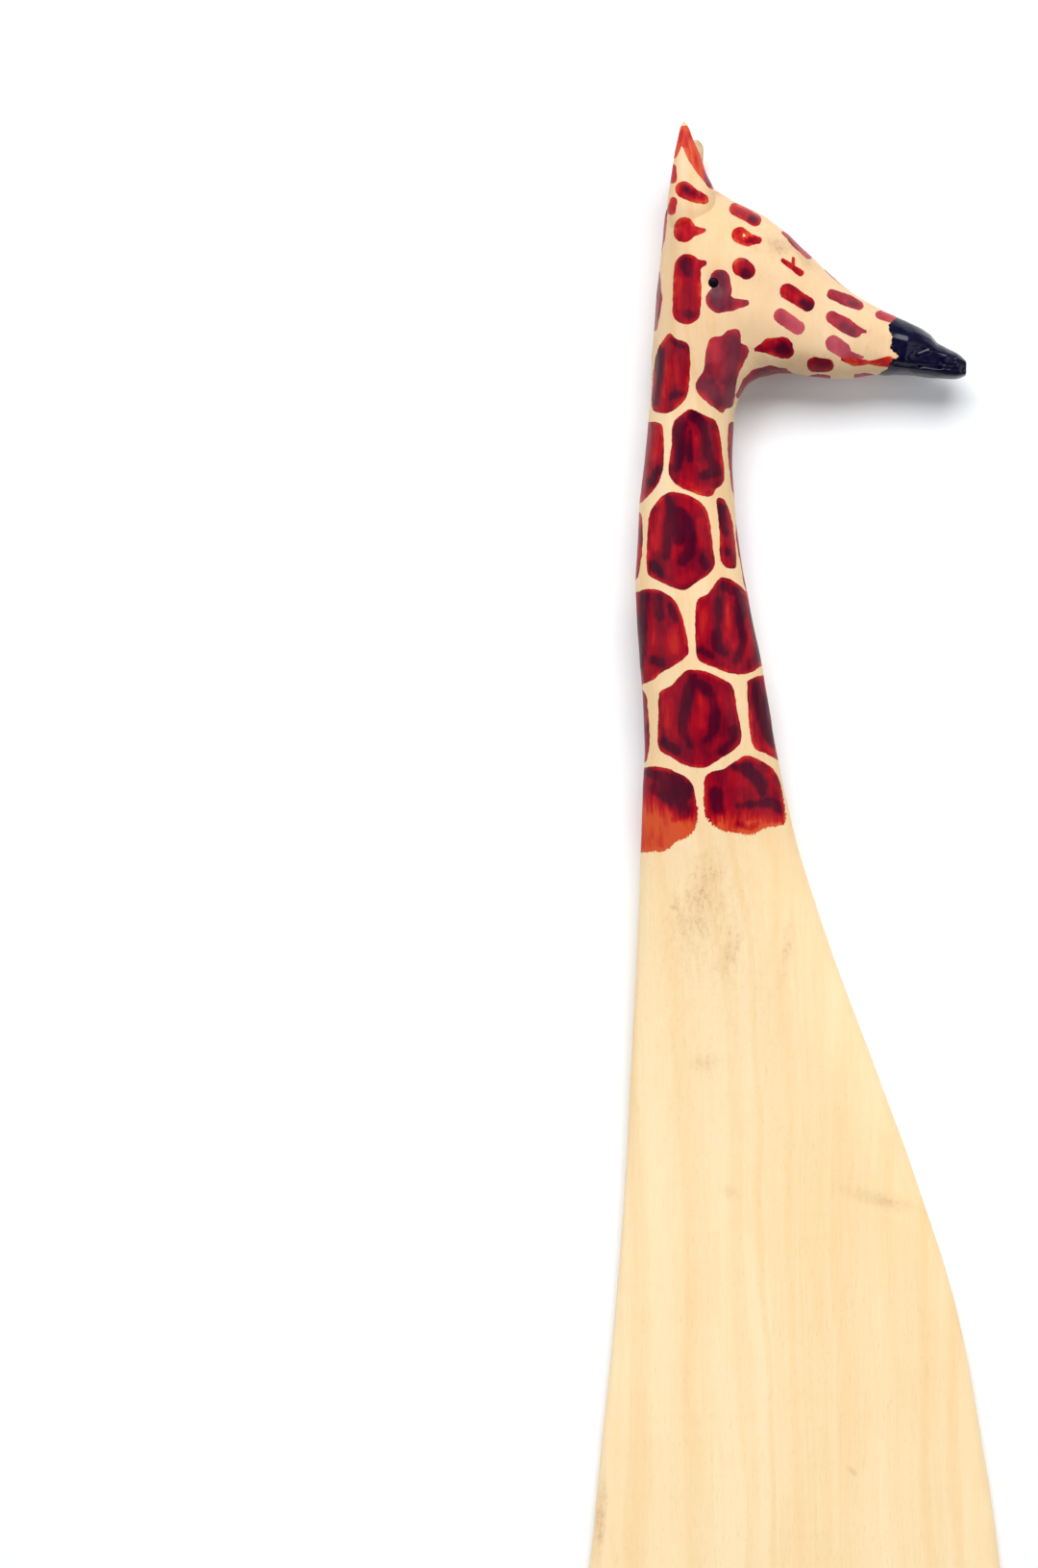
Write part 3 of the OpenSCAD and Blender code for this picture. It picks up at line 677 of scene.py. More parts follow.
def hidden_patches():
    """Six-sided patches, in staggered rows, for the hidden side of the neck."""
    rows = np.array(NECK_STATIONS + HEAD_STATIONS[:2])
    outlines = []
    for y, half_height, back_margin, front_margin, count in HIDDEN_ROWS:
        back = np.interp(y, rows[:, 3], rows[:, 2]) + back_margin
        front = np.interp(y, rows[:, 1], rows[:, 0]) - front_margin
        wide = (front - back - HIDDEN_GAP * (count - 1)) / count
        for k in range(count):
            middle = back + wide / 2 + k * (wide + HIDDEN_GAP)
            lift = half_height * (0.12 if k else -0.08)
            outlines.append([(middle + wide / 2 * a, y + lift + half_height * b)
                             for a, b in ((0, 1), (0.85, 0.72), (1, 0), (0.85, -0.7),
                                          (0, -1), (-0.85, -0.72), (-1, 0), (-0.85, 0.7))])
    return outlines


class Paint:
    """The paint on one skin: how deep each place lies in dye or black, and its tones."""

    def __init__(self, skin):
        self.skin = skin
        shape = skin.x.shape
        self.dye = np.full(shape, FAR)
        self.core, self.tone, self.wash = np.zeros(shape), np.full(shape, 0.4), np.zeros(shape)
        self.soil = np.zeros(shape)
        self.coat, self.thin = np.full(shape, FAR), np.full(shape, FAR)
        self.black = np.full(shape, FAR)
        self.views = {
            "plan": skin.plan,
            "front": skin.beyond("front"),
            "back": skin.beyond("back"),
        }

    def seen(self, measure, upper=True, under=True):
        """The depth in a shape on the upper side, on the underside and round both rims."""
        plan = measure(self.views["plan"])
        best = np.where(self.skin.top, plan if upper else FAR, plan if under else FAR)
        if upper:
            for side in ("front", "back"):
                wrapped = measure(self.views[side])
                best = np.where(self.skin.top, best, np.maximum(best, wrapped))
        return best

    def add(self, depth, tone, wash, loops=0.2):
        """Lays one patch of dye over what is there, brushed in loops if loops is 1."""
        win = depth > self.dye
        self.core[win] = depth[win] / max(depth.max(), 0.1) * loops
        self.tone[win], self.wash[win] = tone, wash
        self.dye[win] = depth[win]

    def neck(self):
        """The big patches of the neck, on both sides."""
        draw = np.random.default_rng(7)
        for k, outline in enumerate(NECK_PATCHES):
            curve = closed_curve(outline)
            depth = self.seen(lambda plan: outline_depth(plan, curve), under=False)
            wash = 0.25 if k == VIOLET_PATCH else 0
            self.add(depth, 0.45 + draw.uniform(-0.04, 0.04) - wash / 2, wash)
        for outline in hidden_patches():
            curve = closed_curve(outline)
            depth = self.seen(lambda plan: outline_depth(plan, curve), upper=False)
            self.add(depth, 0.42 + draw.uniform(-0.08, 0.08), 0, loops=1)

    def head(self):
        """The small spots of the head, the same on both cheeks, and the chips in them."""
        for strokes, tone, wash in HEAD_SPOTS:
            depth = self.seen(lambda plan: np.maximum.reduce(
                [stroke_depth(plan, stroke) for stroke in strokes]))
            self.add(depth, tone, wash)
        for x, y, radius in CHIPS:
            away = np.linalg.norm(self.views["plan"] - [x, y], axis=-1) - radius
            self.dye = np.where(self.skin.top, np.minimum(self.dye, away), self.dye)

    def brushwork(self):
        """The second coat and the thin places, on the upper side."""
        plan = self.views["plan"]
        for strokes, layer in ((SECOND_COAT, self.coat), (THIN_PLACES, self.thin)):
            for stroke in strokes:
                depth = np.where(self.skin.top, stroke_depth(plan, stroke), FAR)
                np.maximum(layer, depth, out=layer)

    def ear(self):
        """The red edges of an ear, on its outer face and round its rims, and a violet stroke of
        dye and painted reflection down its front rim.
        """
        outline = np.array(EAR_DYE, float)
        self.add(self.seen(lambda plan: outline_depth(plan, outline)), 1.15, 0.05)
        # The violet stroke down the front rim: darkest dye, and a violet wash standing for the
        # rim's bluish reflection.
        self.add(self.seen(lambda plan: stroke_depth(plan, VIOLET_DYE_AND_SHEEN)) * SHEEN_STROKE_WEIGHT,
                 0.0, 0.5)

    def muzzle(self):
        """The black end of the muzzle."""
        edge = np.array(BLACK_EDGE[::-1])
        plan = self.views["plan"]
        self.black = plan[..., 0] - np.interp(plan[..., 1], edge[:, 1], edge[:, 0])
        for x, y, radius in CHIPS[-1:]:
            away = np.linalg.norm(plan - [x, y], axis=-1) - radius
            self.black = np.where(self.skin.top, np.minimum(self.black, away), self.black)
        self.black = np.maximum(self.black, FAR)

    def marks(self, general):
        """Smudges from handling, over an even grey set by general, which on the far ear is partly
        painted shade.
        """
        plan = self.views["plan"]
        self.soil += general
        for x, y, long, wide, turn, strength in SOILED:
            a = math.radians(turn)
            dx, dy = plan[..., 0] - x, plan[..., 1] - y
            u = (dx * math.cos(a) + dy * math.sin(a)) / long
            v = (dy * math.cos(a) - dx * math.sin(a)) / wide
            self.soil += strength * fall(np.hypot(u, v)) * self.skin.top

    def layers(self):
        """The values that the materials read, by name."""
        return {"dye": self.dye, "core": self.core, "tone": self.tone, "wash": self.wash,
                "coat": self.coat, "thin": self.thin, "black": self.black,
                "soil": self.soil}


# ---------------------------------------------------------------- meshes

TIP_SHRINK = [(0.93, 0.35), (0.8, 0.62), (0.6, 0.84), (0.34, 0.96)]


def tip_rings(ring, inner, bulge):
    """Shrinking rings that round off the end of a skin."""
    middle = ring.mean(0)
    out = middle - inner.mean(0)
    out /= max(np.linalg.norm(out), 1e-9)
    return [middle + (ring - middle) * size + out * bulge * rise for size, rise in TIP_SHRINK]


def piece_mesh(name, skin, layers, start, stop, round_start=0, round_stop=0):
    """A closed mesh of the skin from one section to another, with its painted layers.

    An end with a round_ value bulges by that many millimetres, the others are cut flat.
    """
    count = skin.x.shape[1]
    points = np.stack([skin.x, skin.y, skin.z], -1)[start:stop + 1]
    normals = skin.normals()[start:stop + 1]
    rows = list(range(start, stop + 1))
    rings, bend = list(points), list(normals)
    if round_start:
        extra = tip_rings(points[0], points[2], round_start)
        rings = extra[::-1] + rings
        bend, rows = [normals[0]] * len(extra) + bend, [start] * len(extra) + rows
    if round_stop:
        extra = tip_rings(points[-1], points[-3], round_stop)
        rings = rings + extra
        bend, rows = bend + [normals[-1]] * len(extra), rows + [stop] * len(extra)
    total = len(rings)
    index = np.arange(total * count).reshape(total, count)
    right = np.roll(index, -1, 1)
    quads = np.stack([index[:-1], right[:-1], right[1:], index[1:]], -1).reshape(-1, 4)
    faces = quads.tolist() + [index[0][::-1].tolist(), index[-1].tolist()]
    mesh = bpy.data.meshes.new(name)
    mesh.from_pydata((np.vstack(rings) * TO_METRES).tolist(), [], faces)
    if signed_volume(mesh) < 0:
        mesh.flip_normals()
    mesh.polygons.foreach_set("use_smooth", [True] * len(mesh.polygons))
    sharpen_cuts(mesh, [] if round_start else index[0], [] if round_stop else index[-1])
    for layer, values in layers.items():
        data = mesh.attributes.new(layer, "FLOAT", "POINT").data
        data.foreach_set("value", np.vstack([values[row] for row in rows]).ravel())
    data = mesh.attributes.new("skin_normal", "FLOAT_VECTOR", "POINT").data
    data.foreach_set("vector", np.vstack(bend).ravel())
    return mesh


def signed_volume(mesh):
    """The volume that a closed mesh holds, negative if its faces point inwards."""
    mesh.calc_loop_triangles()
    corners = np.zeros(len(mesh.loop_triangles) * 3, int)
    mesh.loop_triangles.foreach_get("vertices", corners)
    places = np.zeros(len(mesh.vertices) * 3)
    mesh.vertices.foreach_get("co", places)
    a, b, c = (places.reshape(-1, 3)[corners.reshape(-1, 3)[:, k]] for k in range(3))
    return np.sum(a * np.cross(b, c)) / 6


def sharpen_cuts(mesh, *rings):
    """Marks the rims of flat cuts sharp, so that the skin's shading runs on past them."""
    members = [set(int(i) for i in ring) for ring in rings if len(ring)]
    if not members:
        return
    pairs = np.zeros(len(mesh.edges) * 2, int)
    mesh.edges.foreach_get("vertices", pairs)
    sharp = [any(a in m and b in m for m in members) for a, b in pairs.reshape(-1, 2)]
    mesh.attributes.new("sharp_edge", "BOOLEAN", "EDGE").data.foreach_set("value", sharp)


# ---------------------------------------------------------------- node trees

class Net:
    """Adds nodes to one tree. A value may be a number, a tuple or another node's output."""

    def __init__(self, tree):
        self.tree = tree

    def add(self, kind, inputs=None, **settings):
        node = self.tree.nodes.new(kind)
        for name, value in settings.items():
            setattr(node, name, value)
        for name, value in (inputs or {}).items():
            self.feed(node.inputs[name], value)
        return node

    def feed(self, socket, value):
        if isinstance(value, bpy.types.NodeSocket):
            self.tree.links.new(value, socket)
        else:
            socket.default_value = value

    def math(self, operation, *values, clamp=False):
        node = self.add("ShaderNodeMath", dict(enumerate(values)), operation=operation)
        node.use_clamp = clamp
        return node.outputs[0]

    def vector(self, operation, *values, scale=None):
        node = self.add("ShaderNodeVectorMath", dict(enumerate(values)), operation=operation)
        if scale is not None:
            self.feed(node.inputs["Scale"], scale)
        return node.outputs[0]

    def noise(self, place, scale, detail=2.0, rough=0.5, lean=0.0):
        node = self.add("ShaderNodeTexNoise", {"Vector": place, "Scale": scale,
                                               "Detail": detail, "Roughness": rough,
                                               "Distortion": lean})
        return node.outputs[0]

    def ease(self, value, low, high, start=0.0, end=1.0):
        """Goes smoothly from start to end while value goes from low to high."""
        node = self.add("ShaderNodeMapRange", {"Value": value, "From Min": low,
                                               "From Max": high, "To Min": start,
                                               "To Max": end}, interpolation_type="SMOOTHSTEP")
        return node.outputs[0]

    def mix(self, factor, first, second, blend="MIX"):
        node = self.add("ShaderNodeMix", {0: factor, 6: first, 7: second},
                        data_type="RGBA", blend_type=blend)
        return node.outputs[2]

    def ramp(self, value, stops):
        node = self.add("ShaderNodeValToRGB", {0: value})
        ramp = node.color_ramp
        while len(ramp.elements) < len(stops):
            ramp.elements.new(0.5)
        for element, (place, colour) in zip(ramp.elements, stops):
            element.position, element.color = place, (*colour, 1)
        return node.outputs[0]


def new_group(name, inputs, outputs):
    """A shader node group with float, vector or colour sockets, and its Net."""
    kinds = {"float": "NodeSocketFloat", "vector": "NodeSocketVector", "color": "NodeSocketColor"}
    tree = bpy.data.node_groups.new(name, "ShaderNodeTree")
    for label, kind in inputs.items():
        tree.interface.new_socket(label, in_out="INPUT", socket_type=kinds[kind])
    for label, kind in outputs.items():
        tree.interface.new_socket(label, in_out="OUTPUT", socket_type=kinds[kind])
    net = Net(tree)
    source = net.add("NodeGroupInput").outputs
    sink = net.add("NodeGroupOutput").inputs
    return tree, net, source, sink


def pale_wood_group(name):
    """Growth rings, fibres and pores of a pale, fine-grained wood, in millimetres."""
    tree, net, source, sink = new_group(
        name, {"Place": "vector", "Light": "color", "Dark": "color"},
        {"Color": "color", "Height": "float", "Rough": "float"})
    place = source["Place"]
    sway = net.noise(net.vector("MULTIPLY", place, (0.05, 0.016, 0.05)), 1.0, 2.0)
    parts = net.add("ShaderNodeSeparateXYZ", {0: place}).outputs
    across = net.math("ADD", net.math("ADD", parts[0], 58.0), net.math("MULTIPLY", sway, 10.0))
    down = net.math("ADD", parts[2], 34.0)
    radius = net.math("SQRT", net.math("ADD", net.math("MULTIPLY", across, across),
                                       net.math("MULTIPLY", down, down)))
    bands = net.add("ShaderNodeTexNoise", {"W": net.math("MULTIPLY", radius, 0.26),
                                           "Scale": 1.0, "Detail": 3.0, "Roughness": 0.55},
                    noise_dimensions="1D").outputs[0]
    late = net.math("FRACT", net.math("MULTIPLY", radius, 0.37))
    late = net.math("MULTIPLY", net.ease(late, 0.6, 0.96), net.ease(late, 1.0, 0.965))
    fibre = net.noise(net.vector("MULTIPLY", place, (1.7, 0.06, 1.7)), 1.0, 4.0, 0.6, 0.3)
    pores = net.noise(net.vector("MULTIPLY", place, (9.0, 0.5, 9.0)), 1.0, 2.0, 0.5)
    pores = net.ease(pores, 0.62, 0.74)
    cloud = net.noise(net.vector("MULTIPLY", place, (0.05, 0.02, 0.05)), 1.0, 2.0)
    ripple = net.noise(net.vector("MULTIPLY", place, (0.09, 0.45, 0.09)), 1.0, 3.0, 0.6)
    dark = net.math("ADD", net.ease(bands, 0.32, 0.72, 0, 0.43), net.math("MULTIPLY", late, 0.06))
    dark = net.math("ADD", dark, net.ease(ripple, 0.35, 0.7, -0.03, 0.04))
    dark = net.math("ADD", dark, net.ease(fibre, 0.3, 0.75, 0, 0.24))
    dark = net.math("ADD", dark, net.math("MULTIPLY", pores, 0.22))
    dark = net.math("ADD", dark, net.ease(cloud, 0.3, 0.7, -0.12, 0.2), clamp=True)
    net.feed(sink["Color"], net.mix(dark, source["Light"], source["Dark"]))
    height = net.math("ADD", net.math("MULTIPLY", fibre, 0.02), net.math("MULTIPLY", pores, -0.02))
    net.feed(sink["Height"], net.math("ADD", height, net.math("MULTIPLY", late, 0.006)))
    net.feed(sink["Rough"], net.ease(fibre, 0.3, 0.7, 0.34, 0.42))
    return tree


def ragged_group(name):
    """Turns a depth into a mask with a hand-painted, slightly ragged edge."""
    tree, net, source, sink = new_group(
        name, {"Place": "vector", "Depth": "float", "Sway": "float", "Fray": "float"},
        {"Mask": "float", "Depth": "float"})
    place = source["Place"]
    slow = net.math("SUBTRACT", net.noise(place, 0.8, 2.0), 0.5)
    quick = net.math("SUBTRACT", net.noise(net.vector("MULTIPLY", place, (3.2, 1.8, 3.2)),
                                           1.0, 3.0, 0.65), 0.5)
    depth = net.math("ADD", source["Depth"], net.math("MULTIPLY", slow, source["Sway"]))
    depth = net.math("ADD", depth, net.math("MULTIPLY", quick, source["Fray"]))
    net.feed(sink["Mask"], net.ease(depth, -0.05, 0.05))
    net.feed(sink["Depth"], depth)
    return tree


# Colours of the dye from thickest to thinnest, the violet that rinsing leaves (on the ear's front
# rim it also paints a bluish reflection), and how much wood shows through that
DYE_COLOURS = [(0.0, (0.035, 0.001, 0.012)), (0.25, (0.085, 0.001, 0.012)),
               (0.45, (0.22, 0.0015, 0.012)), (0.62, (0.34, 0.003, 0.012)),
               (0.82, (0.48, 0.02, 0.012)), (1.0, (0.58, 0.075, 0.022))]
RINSED_DYE_AND_SHEEN = (0.46, 0.055, 0.115, 1)
RINSED_WOOD = 0.1


def brushed_dye_group(name):
    """Maroon dye laid on in overlapping strokes, with a second coat and thin places."""
    tree, net, source, sink = new_group(
        name,
        {"Place": "vector", "Depth": "float", "Core": "float", "Coat": "float",
         "Thin": "float", "Tone": "float", "Wash": "float", "Wood": "color"},
        {"Color": "color", "Height": "float"})
    place, depth = source["Place"], source["Depth"]
    drift = net.math("SUBTRACT", net.noise(place, 0.2, 1.0, 0.4), 0.5)
    loop = net.math("MULTIPLY_ADD", drift, 0.8, source["Core"])
    ring = net.math("MULTIPLY", net.ease(loop, 0.36, 0.45), net.ease(loop, 0.74, 0.5))
    patchy = net.noise(net.vector("MULTIPLY", place, (0.3, 0.2, 0.3)), 1.0, 2.0, 0.5)
    streak = net.noise(net.vector("MULTIPLY", place, (1.1, 0.13, 1.1)), 1.0, 2.0, 0.6, 0.4)
    glow = net.math("MULTIPLY", net.ease(loop, 0.78, 1.0), net.ease(patchy, 0.35, 0.6))
    rim = net.math("MULTIPLY", net.ease(depth, 0.02, 0.12), net.ease(depth, 0.9, 0.15))
    rim = net.math("MULTIPLY", rim, net.ease(net.noise(place, 0.35, 1.0), 0.4, 0.58))
    light = net.math("ADD", net.ease(streak, 0.25, 0.75, -0.08, 0.08),
                     net.ease(patchy, 0.3, 0.7, -0.1, 0.1))
    wobble = net.noise(net.vector("MULTIPLY", place, (1.3, 0.5, 1.3)), 1.0, 3.0, 0.6)
    wobble = net.math("MULTIPLY_ADD", wobble, 1.2, -0.6)
    coat = net.ease(net.math("ADD", source["Coat"], wobble), -0.5, 0.35)
    thin = net.ease(net.math("ADD", source["Thin"], wobble), -0.45, 0.5)
    light = net.math("SUBTRACT", light, net.math("MULTIPLY", coat, 0.27))
    light = net.math("ADD", light, net.math("MULTIPLY", thin, 0.17))
    light = net.math("SUBTRACT", light, net.math("MULTIPLY", ring, 0.26))
    light = net.math("ADD", light, net.math("MULTIPLY", glow, 0.2))
    light = net.math("ADD", light, net.math("MULTIPLY", rim, 0.26))
    light = net.math("ADD", light, net.math("MULTIPLY_ADD", source["Tone"], 0.62, 0.18),
                     clamp=True)
    colour = net.ramp(light, DYE_COLOURS)
    faint = net.math("MULTIPLY", source["Wash"], net.ease(patchy, 0.32, 0.62, 0.55, 1.0))
    rinsed = net.mix(faint, colour, net.mix(RINSED_WOOD, RINSED_DYE_AND_SHEEN, source["Wood"]))
    net.feed(sink["Color"], rinsed)
    pooled = net.ease(depth, 0.0, 0.16, 0, 0.018)
    net.feed(sink["Height"], net.math("MULTIPLY_ADD", streak, 0.012, pooled))
    return tree


# The black paint, fresh and worn
FRESH_BLACK = (0.002, 0.0014, 0.015, 1)
WORN_BLACK = (0.007, 0.0055, 0.032, 1)


def black_paint_group(name):
    """Thick black paint with a violet cast and lengthwise brush marks."""
    tree, net, source, sink = new_group(
        name, {"Place": "vector", "Depth": "float"},
        {"Color": "color", "Height": "float", "Rough": "float"})
    place = source["Place"]
    marks = net.noise(net.vector("MULTIPLY", place, (0.5, 2.4, 1.4)), 1.0, 4.0, 0.6, 0.3)
    worn = net.noise(place, 0.5, 3.0, 0.6)
    net.feed(sink["Color"], net.mix(net.ease(worn, 0.5, 0.8), FRESH_BLACK, WORN_BLACK))
    edge = net.ease(source["Depth"], 0.0, 0.2, 0, 0.05)
    net.feed(sink["Height"], net.math("MULTIPLY_ADD", marks, 0.08, edge))
    net.feed(sink["Rough"], net.ease(worn, 0.3, 0.7, 0.14, 0.26))
    return tree


# What the bare wood is multiplied by, darker and pinker up the neck and on the head, the warmth
# round soiled places, and the grime itself, brown low down and greyer on the head and ears; on the
# far ear that grey is partly painted shade
NECK_AND_HEAD_TINT = (0.80, 0.73, 0.735, 1)
SOILED_WOOD = (0.72, 0.45, 0.22, 1)
BROWN_GRIME = (0.42, 0.18, 0.065, 1)
GREY_GRIME_AND_SHADE = (0.46, 0.32, 0.21, 1)


def handling_and_shade_group(name):
    """Grime where the soil-and-shade layer is high, brown low down and grey on the head, caught in
    scratches; on the far ear the grey is partly painted shade.
    """
    tree, net, source, sink = new_group(
        name, {"Place": "vector", "Soil": "float", "Color": "color"},
        {"Color": "color"})
    place = source["Place"]
    up = net.add("ShaderNodeSeparateXYZ", {0: place}).outputs[1]
    # Darker and pinker from the bottom of the neck upwards, and again on the head.
    neck_and_head_share = net.math("ADD", net.ease(up, 20.0, 48.0, 0.06, 0.7), net.ease(up, 104.0, 120.0, 0, 0.8),
                   clamp=True)
    tinted = net.mix(neck_and_head_share, source["Color"], NECK_AND_HEAD_TINT, "MULTIPLY")
    streaks = net.noise(net.vector("MULTIPLY", place, (1.1, 0.45, 1.1)), 1.0, 4.0, 0.65, 0.6)
    flecks = net.noise(place, 1.6, 4.0, 0.7)
    caught = net.math("MULTIPLY", net.ease(streaks, 0.38, 0.7), net.ease(flecks, 0.25, 0.65))
    caught = net.math("MULTIPLY_ADD", caught, 0.85, 0.16)
    mask = net.math("MULTIPLY", caught, source["Soil"], clamp=True)
    warmed = net.mix(net.math("MULTIPLY", source["Soil"], 0.35, clamp=True), tinted,
                     SOILED_WOOD)
    grime_and_shade = net.mix(net.ease(up, 60.0, 100.0), BROWN_GRIME, GREY_GRIME_AND_SHADE)
    net.feed(sink["Color"], net.mix(mask, warmed, grime_and_shade))
    return tree


GROUP_MAKERS = {
    "Pale wood grain": pale_wood_group,
    "Ragged edge": ragged_group,
    "Brushed dye": brushed_dye_group,
    "Black paint": black_paint_group,
    "Handling marks": handling_and_shade_group,
}


def shared_group(name):
    """One of the node groups that the materials share, made when it is first asked for."""
    return bpy.data.node_groups.get(name) or GROUP_MAKERS[name](name)


def new_material(name):
    """An empty material and its Net."""
    material = bpy.data.materials.new(name)
    material.use_nodes = True
    material.node_tree.nodes.clear()
    return material, Net(material.node_tree)


# How strong the gloss over the dye and over the black paint is
DYE_GLOSS = 0.05
BLACK_GLOSS = 0.3


def painted_wood(name, finish, blackened=False):
    """Varnished pale wood under dye, black paint and handling marks, as far as asked."""
    known = bpy.data.materials.get(name)
    if known:
        return known
    material, net = new_material(name)

    def group(title, inputs):
        node = net.add("ShaderNodeGroup", node_tree=shared_group(title))
        for label, value in inputs.items():
            net.feed(node.inputs[label], value)
        return node.outputs

    def layer(label):
        return net.add("ShaderNodeAttribute", attribute_name=label).outputs["Fac"]

    spot = net.add("ShaderNodeTexCoord").outputs["Object"]
    place = net.vector("SCALE", spot, scale=1 / MM)
    grain = group("Pale wood grain", {"Place": place, "Light": (*finish.wood_light, 1),
                                      "Dark": (*finish.wood_dark, 1)})
    height, rough = grain["Height"], grain["Rough"]
    soiled = group("Handling marks", {"Place": place, "Soil": layer("soil"),
                                      "Color": grain["Color"]})
    colour = soiled["Color"]
    across, up, _ = net.add("ShaderNodeSeparateXYZ", {0: place}).outputs
    fray = net.ease(up, 44.0, 35.0, 0.2, 1.3)
    edge = group("Ragged edge", {"Place": place, "Depth": layer("dye"),
                                 "Sway": finish.brush_sway, "Fray": fray})
    wander = net.noise(net.vector("MULTIPLY", place, (0.9, 0.12, 0.9)), 1.0, 3.0, 0.6)
    level = net.math("ADD", net.math("MULTIPLY_ADD", wander, 7.0, up),
                     net.ease(across, -25.0, -16.0, 0, 3.2))
    fade = net.ease(level, 45.5, 41.5, 0, 0.8)
    dye = group("Brushed dye", {
        "Place": place, "Depth": edge["Depth"], "Core": layer("core"),
        "Coat": layer("coat"), "Thin": layer("thin"),
        "Tone": net.math("ADD", layer("tone"), fade),
        "Wash": layer("wash"), "Wood": colour})
    colour = net.mix(edge["Mask"], colour, dye["Color"])
    height = net.math("MULTIPLY", height, net.math("MULTIPLY_ADD", edge["Mask"], -0.7, 1.0))
    height = net.math("MULTIPLY_ADD", edge["Mask"], dye["Height"], height)
    rough = net.math("MULTIPLY_ADD", edge["Mask"], -0.04, rough)
    gloss = net.math("MULTIPLY", edge["Mask"], DYE_GLOSS)
    if blackened:
        edge = group("Ragged edge", {"Place": place, "Depth": layer("black"),
                                     "Sway": finish.brush_sway * 2, "Fray": 0.9})
        black = group("Black paint", {"Place": place, "Depth": edge["Depth"]})
        colour = net.mix(edge["Mask"], colour, black["Color"])
        height = net.math("MULTIPLY_ADD", edge["Mask"], black["Height"], height)
        gloss = net.math("MAXIMUM", gloss, net.math("MULTIPLY", edge["Mask"], BLACK_GLOSS))
        bare = net.math("SUBTRACT", 1.0, edge["Mask"])
        rough = net.math("ADD", net.math("MULTIPLY", rough, bare),
                         net.math("MULTIPLY", black["Rough"], edge["Mask"]))
    bump = net.add("ShaderNodeBump", {"Height": height, "Strength": 1.0, "Distance": MM})
    shader = net.add("ShaderNodeBsdfPrincipled", {
        "Base Color": colour, "Roughness": rough, "Coat Weight": gloss,
        "Normal": bump.outputs[0], "IOR": 1.46, "Specular IOR Level": finish.varnish,
        "Coat Roughness": finish.lacquer_roughness})
    net.add("ShaderNodeOutputMaterial", {"Surface": shader.outputs[0]})
    return material


# The eye beads, and the wear on them
BEAD_BLACK = (0.002, 0.001, 0.003, 1)
BEAD_WORN = (0.01, 0.006, 0.01, 1)


def bead_material():
    """Glossy black, faintly scratched."""
    known = bpy.data.materials.get("Eye bead")
    if known:
        return known
    material, net = new_material("Eye bead")
    spot = net.add("ShaderNodeTexCoord").outputs["Object"]
    place = net.vector("SCALE", spot, scale=1 / MM)
    worn = net.noise(place, 6.0, 3.0, 0.6)
    colour = net.mix(net.ease(worn, 0.4, 0.7), BEAD_BLACK, BEAD_WORN)
    bump = net.add("ShaderNodeBump", {"Height": worn, "Strength": 0.4, "Distance": 0.05 * MM})
    shader = net.add("ShaderNodeBsdfPrincipled", {
        "Base Color": colour, "Roughness": net.ease(worn, 0.3, 0.7, 0.2, 0.3),
        "Normal": bump.outputs[0], "Specular IOR Level": 0.04})
    net.add("ShaderNodeOutputMaterial", {"Surface": shader.outputs[0]})
    return material


# How a facet's cell is squeezed along each axis, and how many waves run in a metre
FACET_SQUEEZE = (1.9, 0.8, 1.9)
WAVES = 70.0


def knife_work_tree():
    """Geometry nodes that leave the marks of the knife: shallow facets and a slow wave."""
    known = bpy.data.node_groups.get("Knife work")
    if known:
        return known
    tree = bpy.data.node_groups.new("Knife work", "GeometryNodeTree")
    sockets = [("Geometry", "NodeSocketGeometry"), ("Facet length", "NodeSocketFloat"),
               ("Facet depth", "NodeSocketFloat"), ("Wave depth", "NodeSocketFloat"),
               ("Seed", "NodeSocketInt"), ("Finish", "NodeSocketMaterial")]
    for label, kind in sockets:
        tree.interface.new_socket(label, in_out="INPUT", socket_type=kind)
    tree.interface.new_socket("Geometry", in_out="OUTPUT", socket_type="NodeSocketGeometry")
    net = Net(tree)
    source = net.add("NodeGroupInput").outputs
    sink = net.add("NodeGroupOutput").inputs
    place = net.add("GeometryNodeInputPosition").outputs[0]
    shift = net.add("ShaderNodeCombineXYZ", {0: net.math("MULTIPLY", source["Seed"], 0.37)})
    size = net.math("DIVIDE", 1.0, source["Facet length"])
    stretched = net.vector("MULTIPLY", place, FACET_SQUEEZE)
    cells = net.vector("ADD", net.vector("SCALE", stretched, scale=size), shift.outputs[0])
    voronoi = net.add("ShaderNodeTexVoronoi", {"Vector": cells, "Scale": 1.0})
    scoop = net.math("POWER", voronoi.outputs["Distance"], 2.0)
    scoop = net.math("MULTIPLY", net.math("SUBTRACT", scoop, 0.3), source["Facet depth"])
    slow = net.noise(net.vector("SCALE", place, scale=WAVES), 1.0, 1.0)
    wave = net.math("MULTIPLY", net.math("SUBTRACT", slow, 0.5), source["Wave depth"])
    carve = net.add("GeometryNodeInputNamedAttribute", {"Name": "carve"}, data_type="FLOAT")
    rise = net.math("ADD", scoop, wave)
    rise = net.math("MULTIPLY", rise, carve.outputs["Attribute"])
    normal = net.add("GeometryNodeInputNamedAttribute", {"Name": "skin_normal"},
                     data_type="FLOAT_VECTOR")
    offset = net.vector("SCALE", normal.outputs["Attribute"], scale=rise)
    moved = net.add("GeometryNodeSetPosition", {"Geometry": source["Geometry"],
                                                "Offset": offset})
    real = net.add("GeometryNodeRealizeInstances", {"Geometry": moved.outputs[0]})
    done = net.add("GeometryNodeSetMaterial", {"Geometry": real.outputs[0],
                                               "Material": source["Finish"]})
    net.feed(sink["Geometry"], done.outputs[0])
    return tree


# ---------------------------------------------------------------- pieces

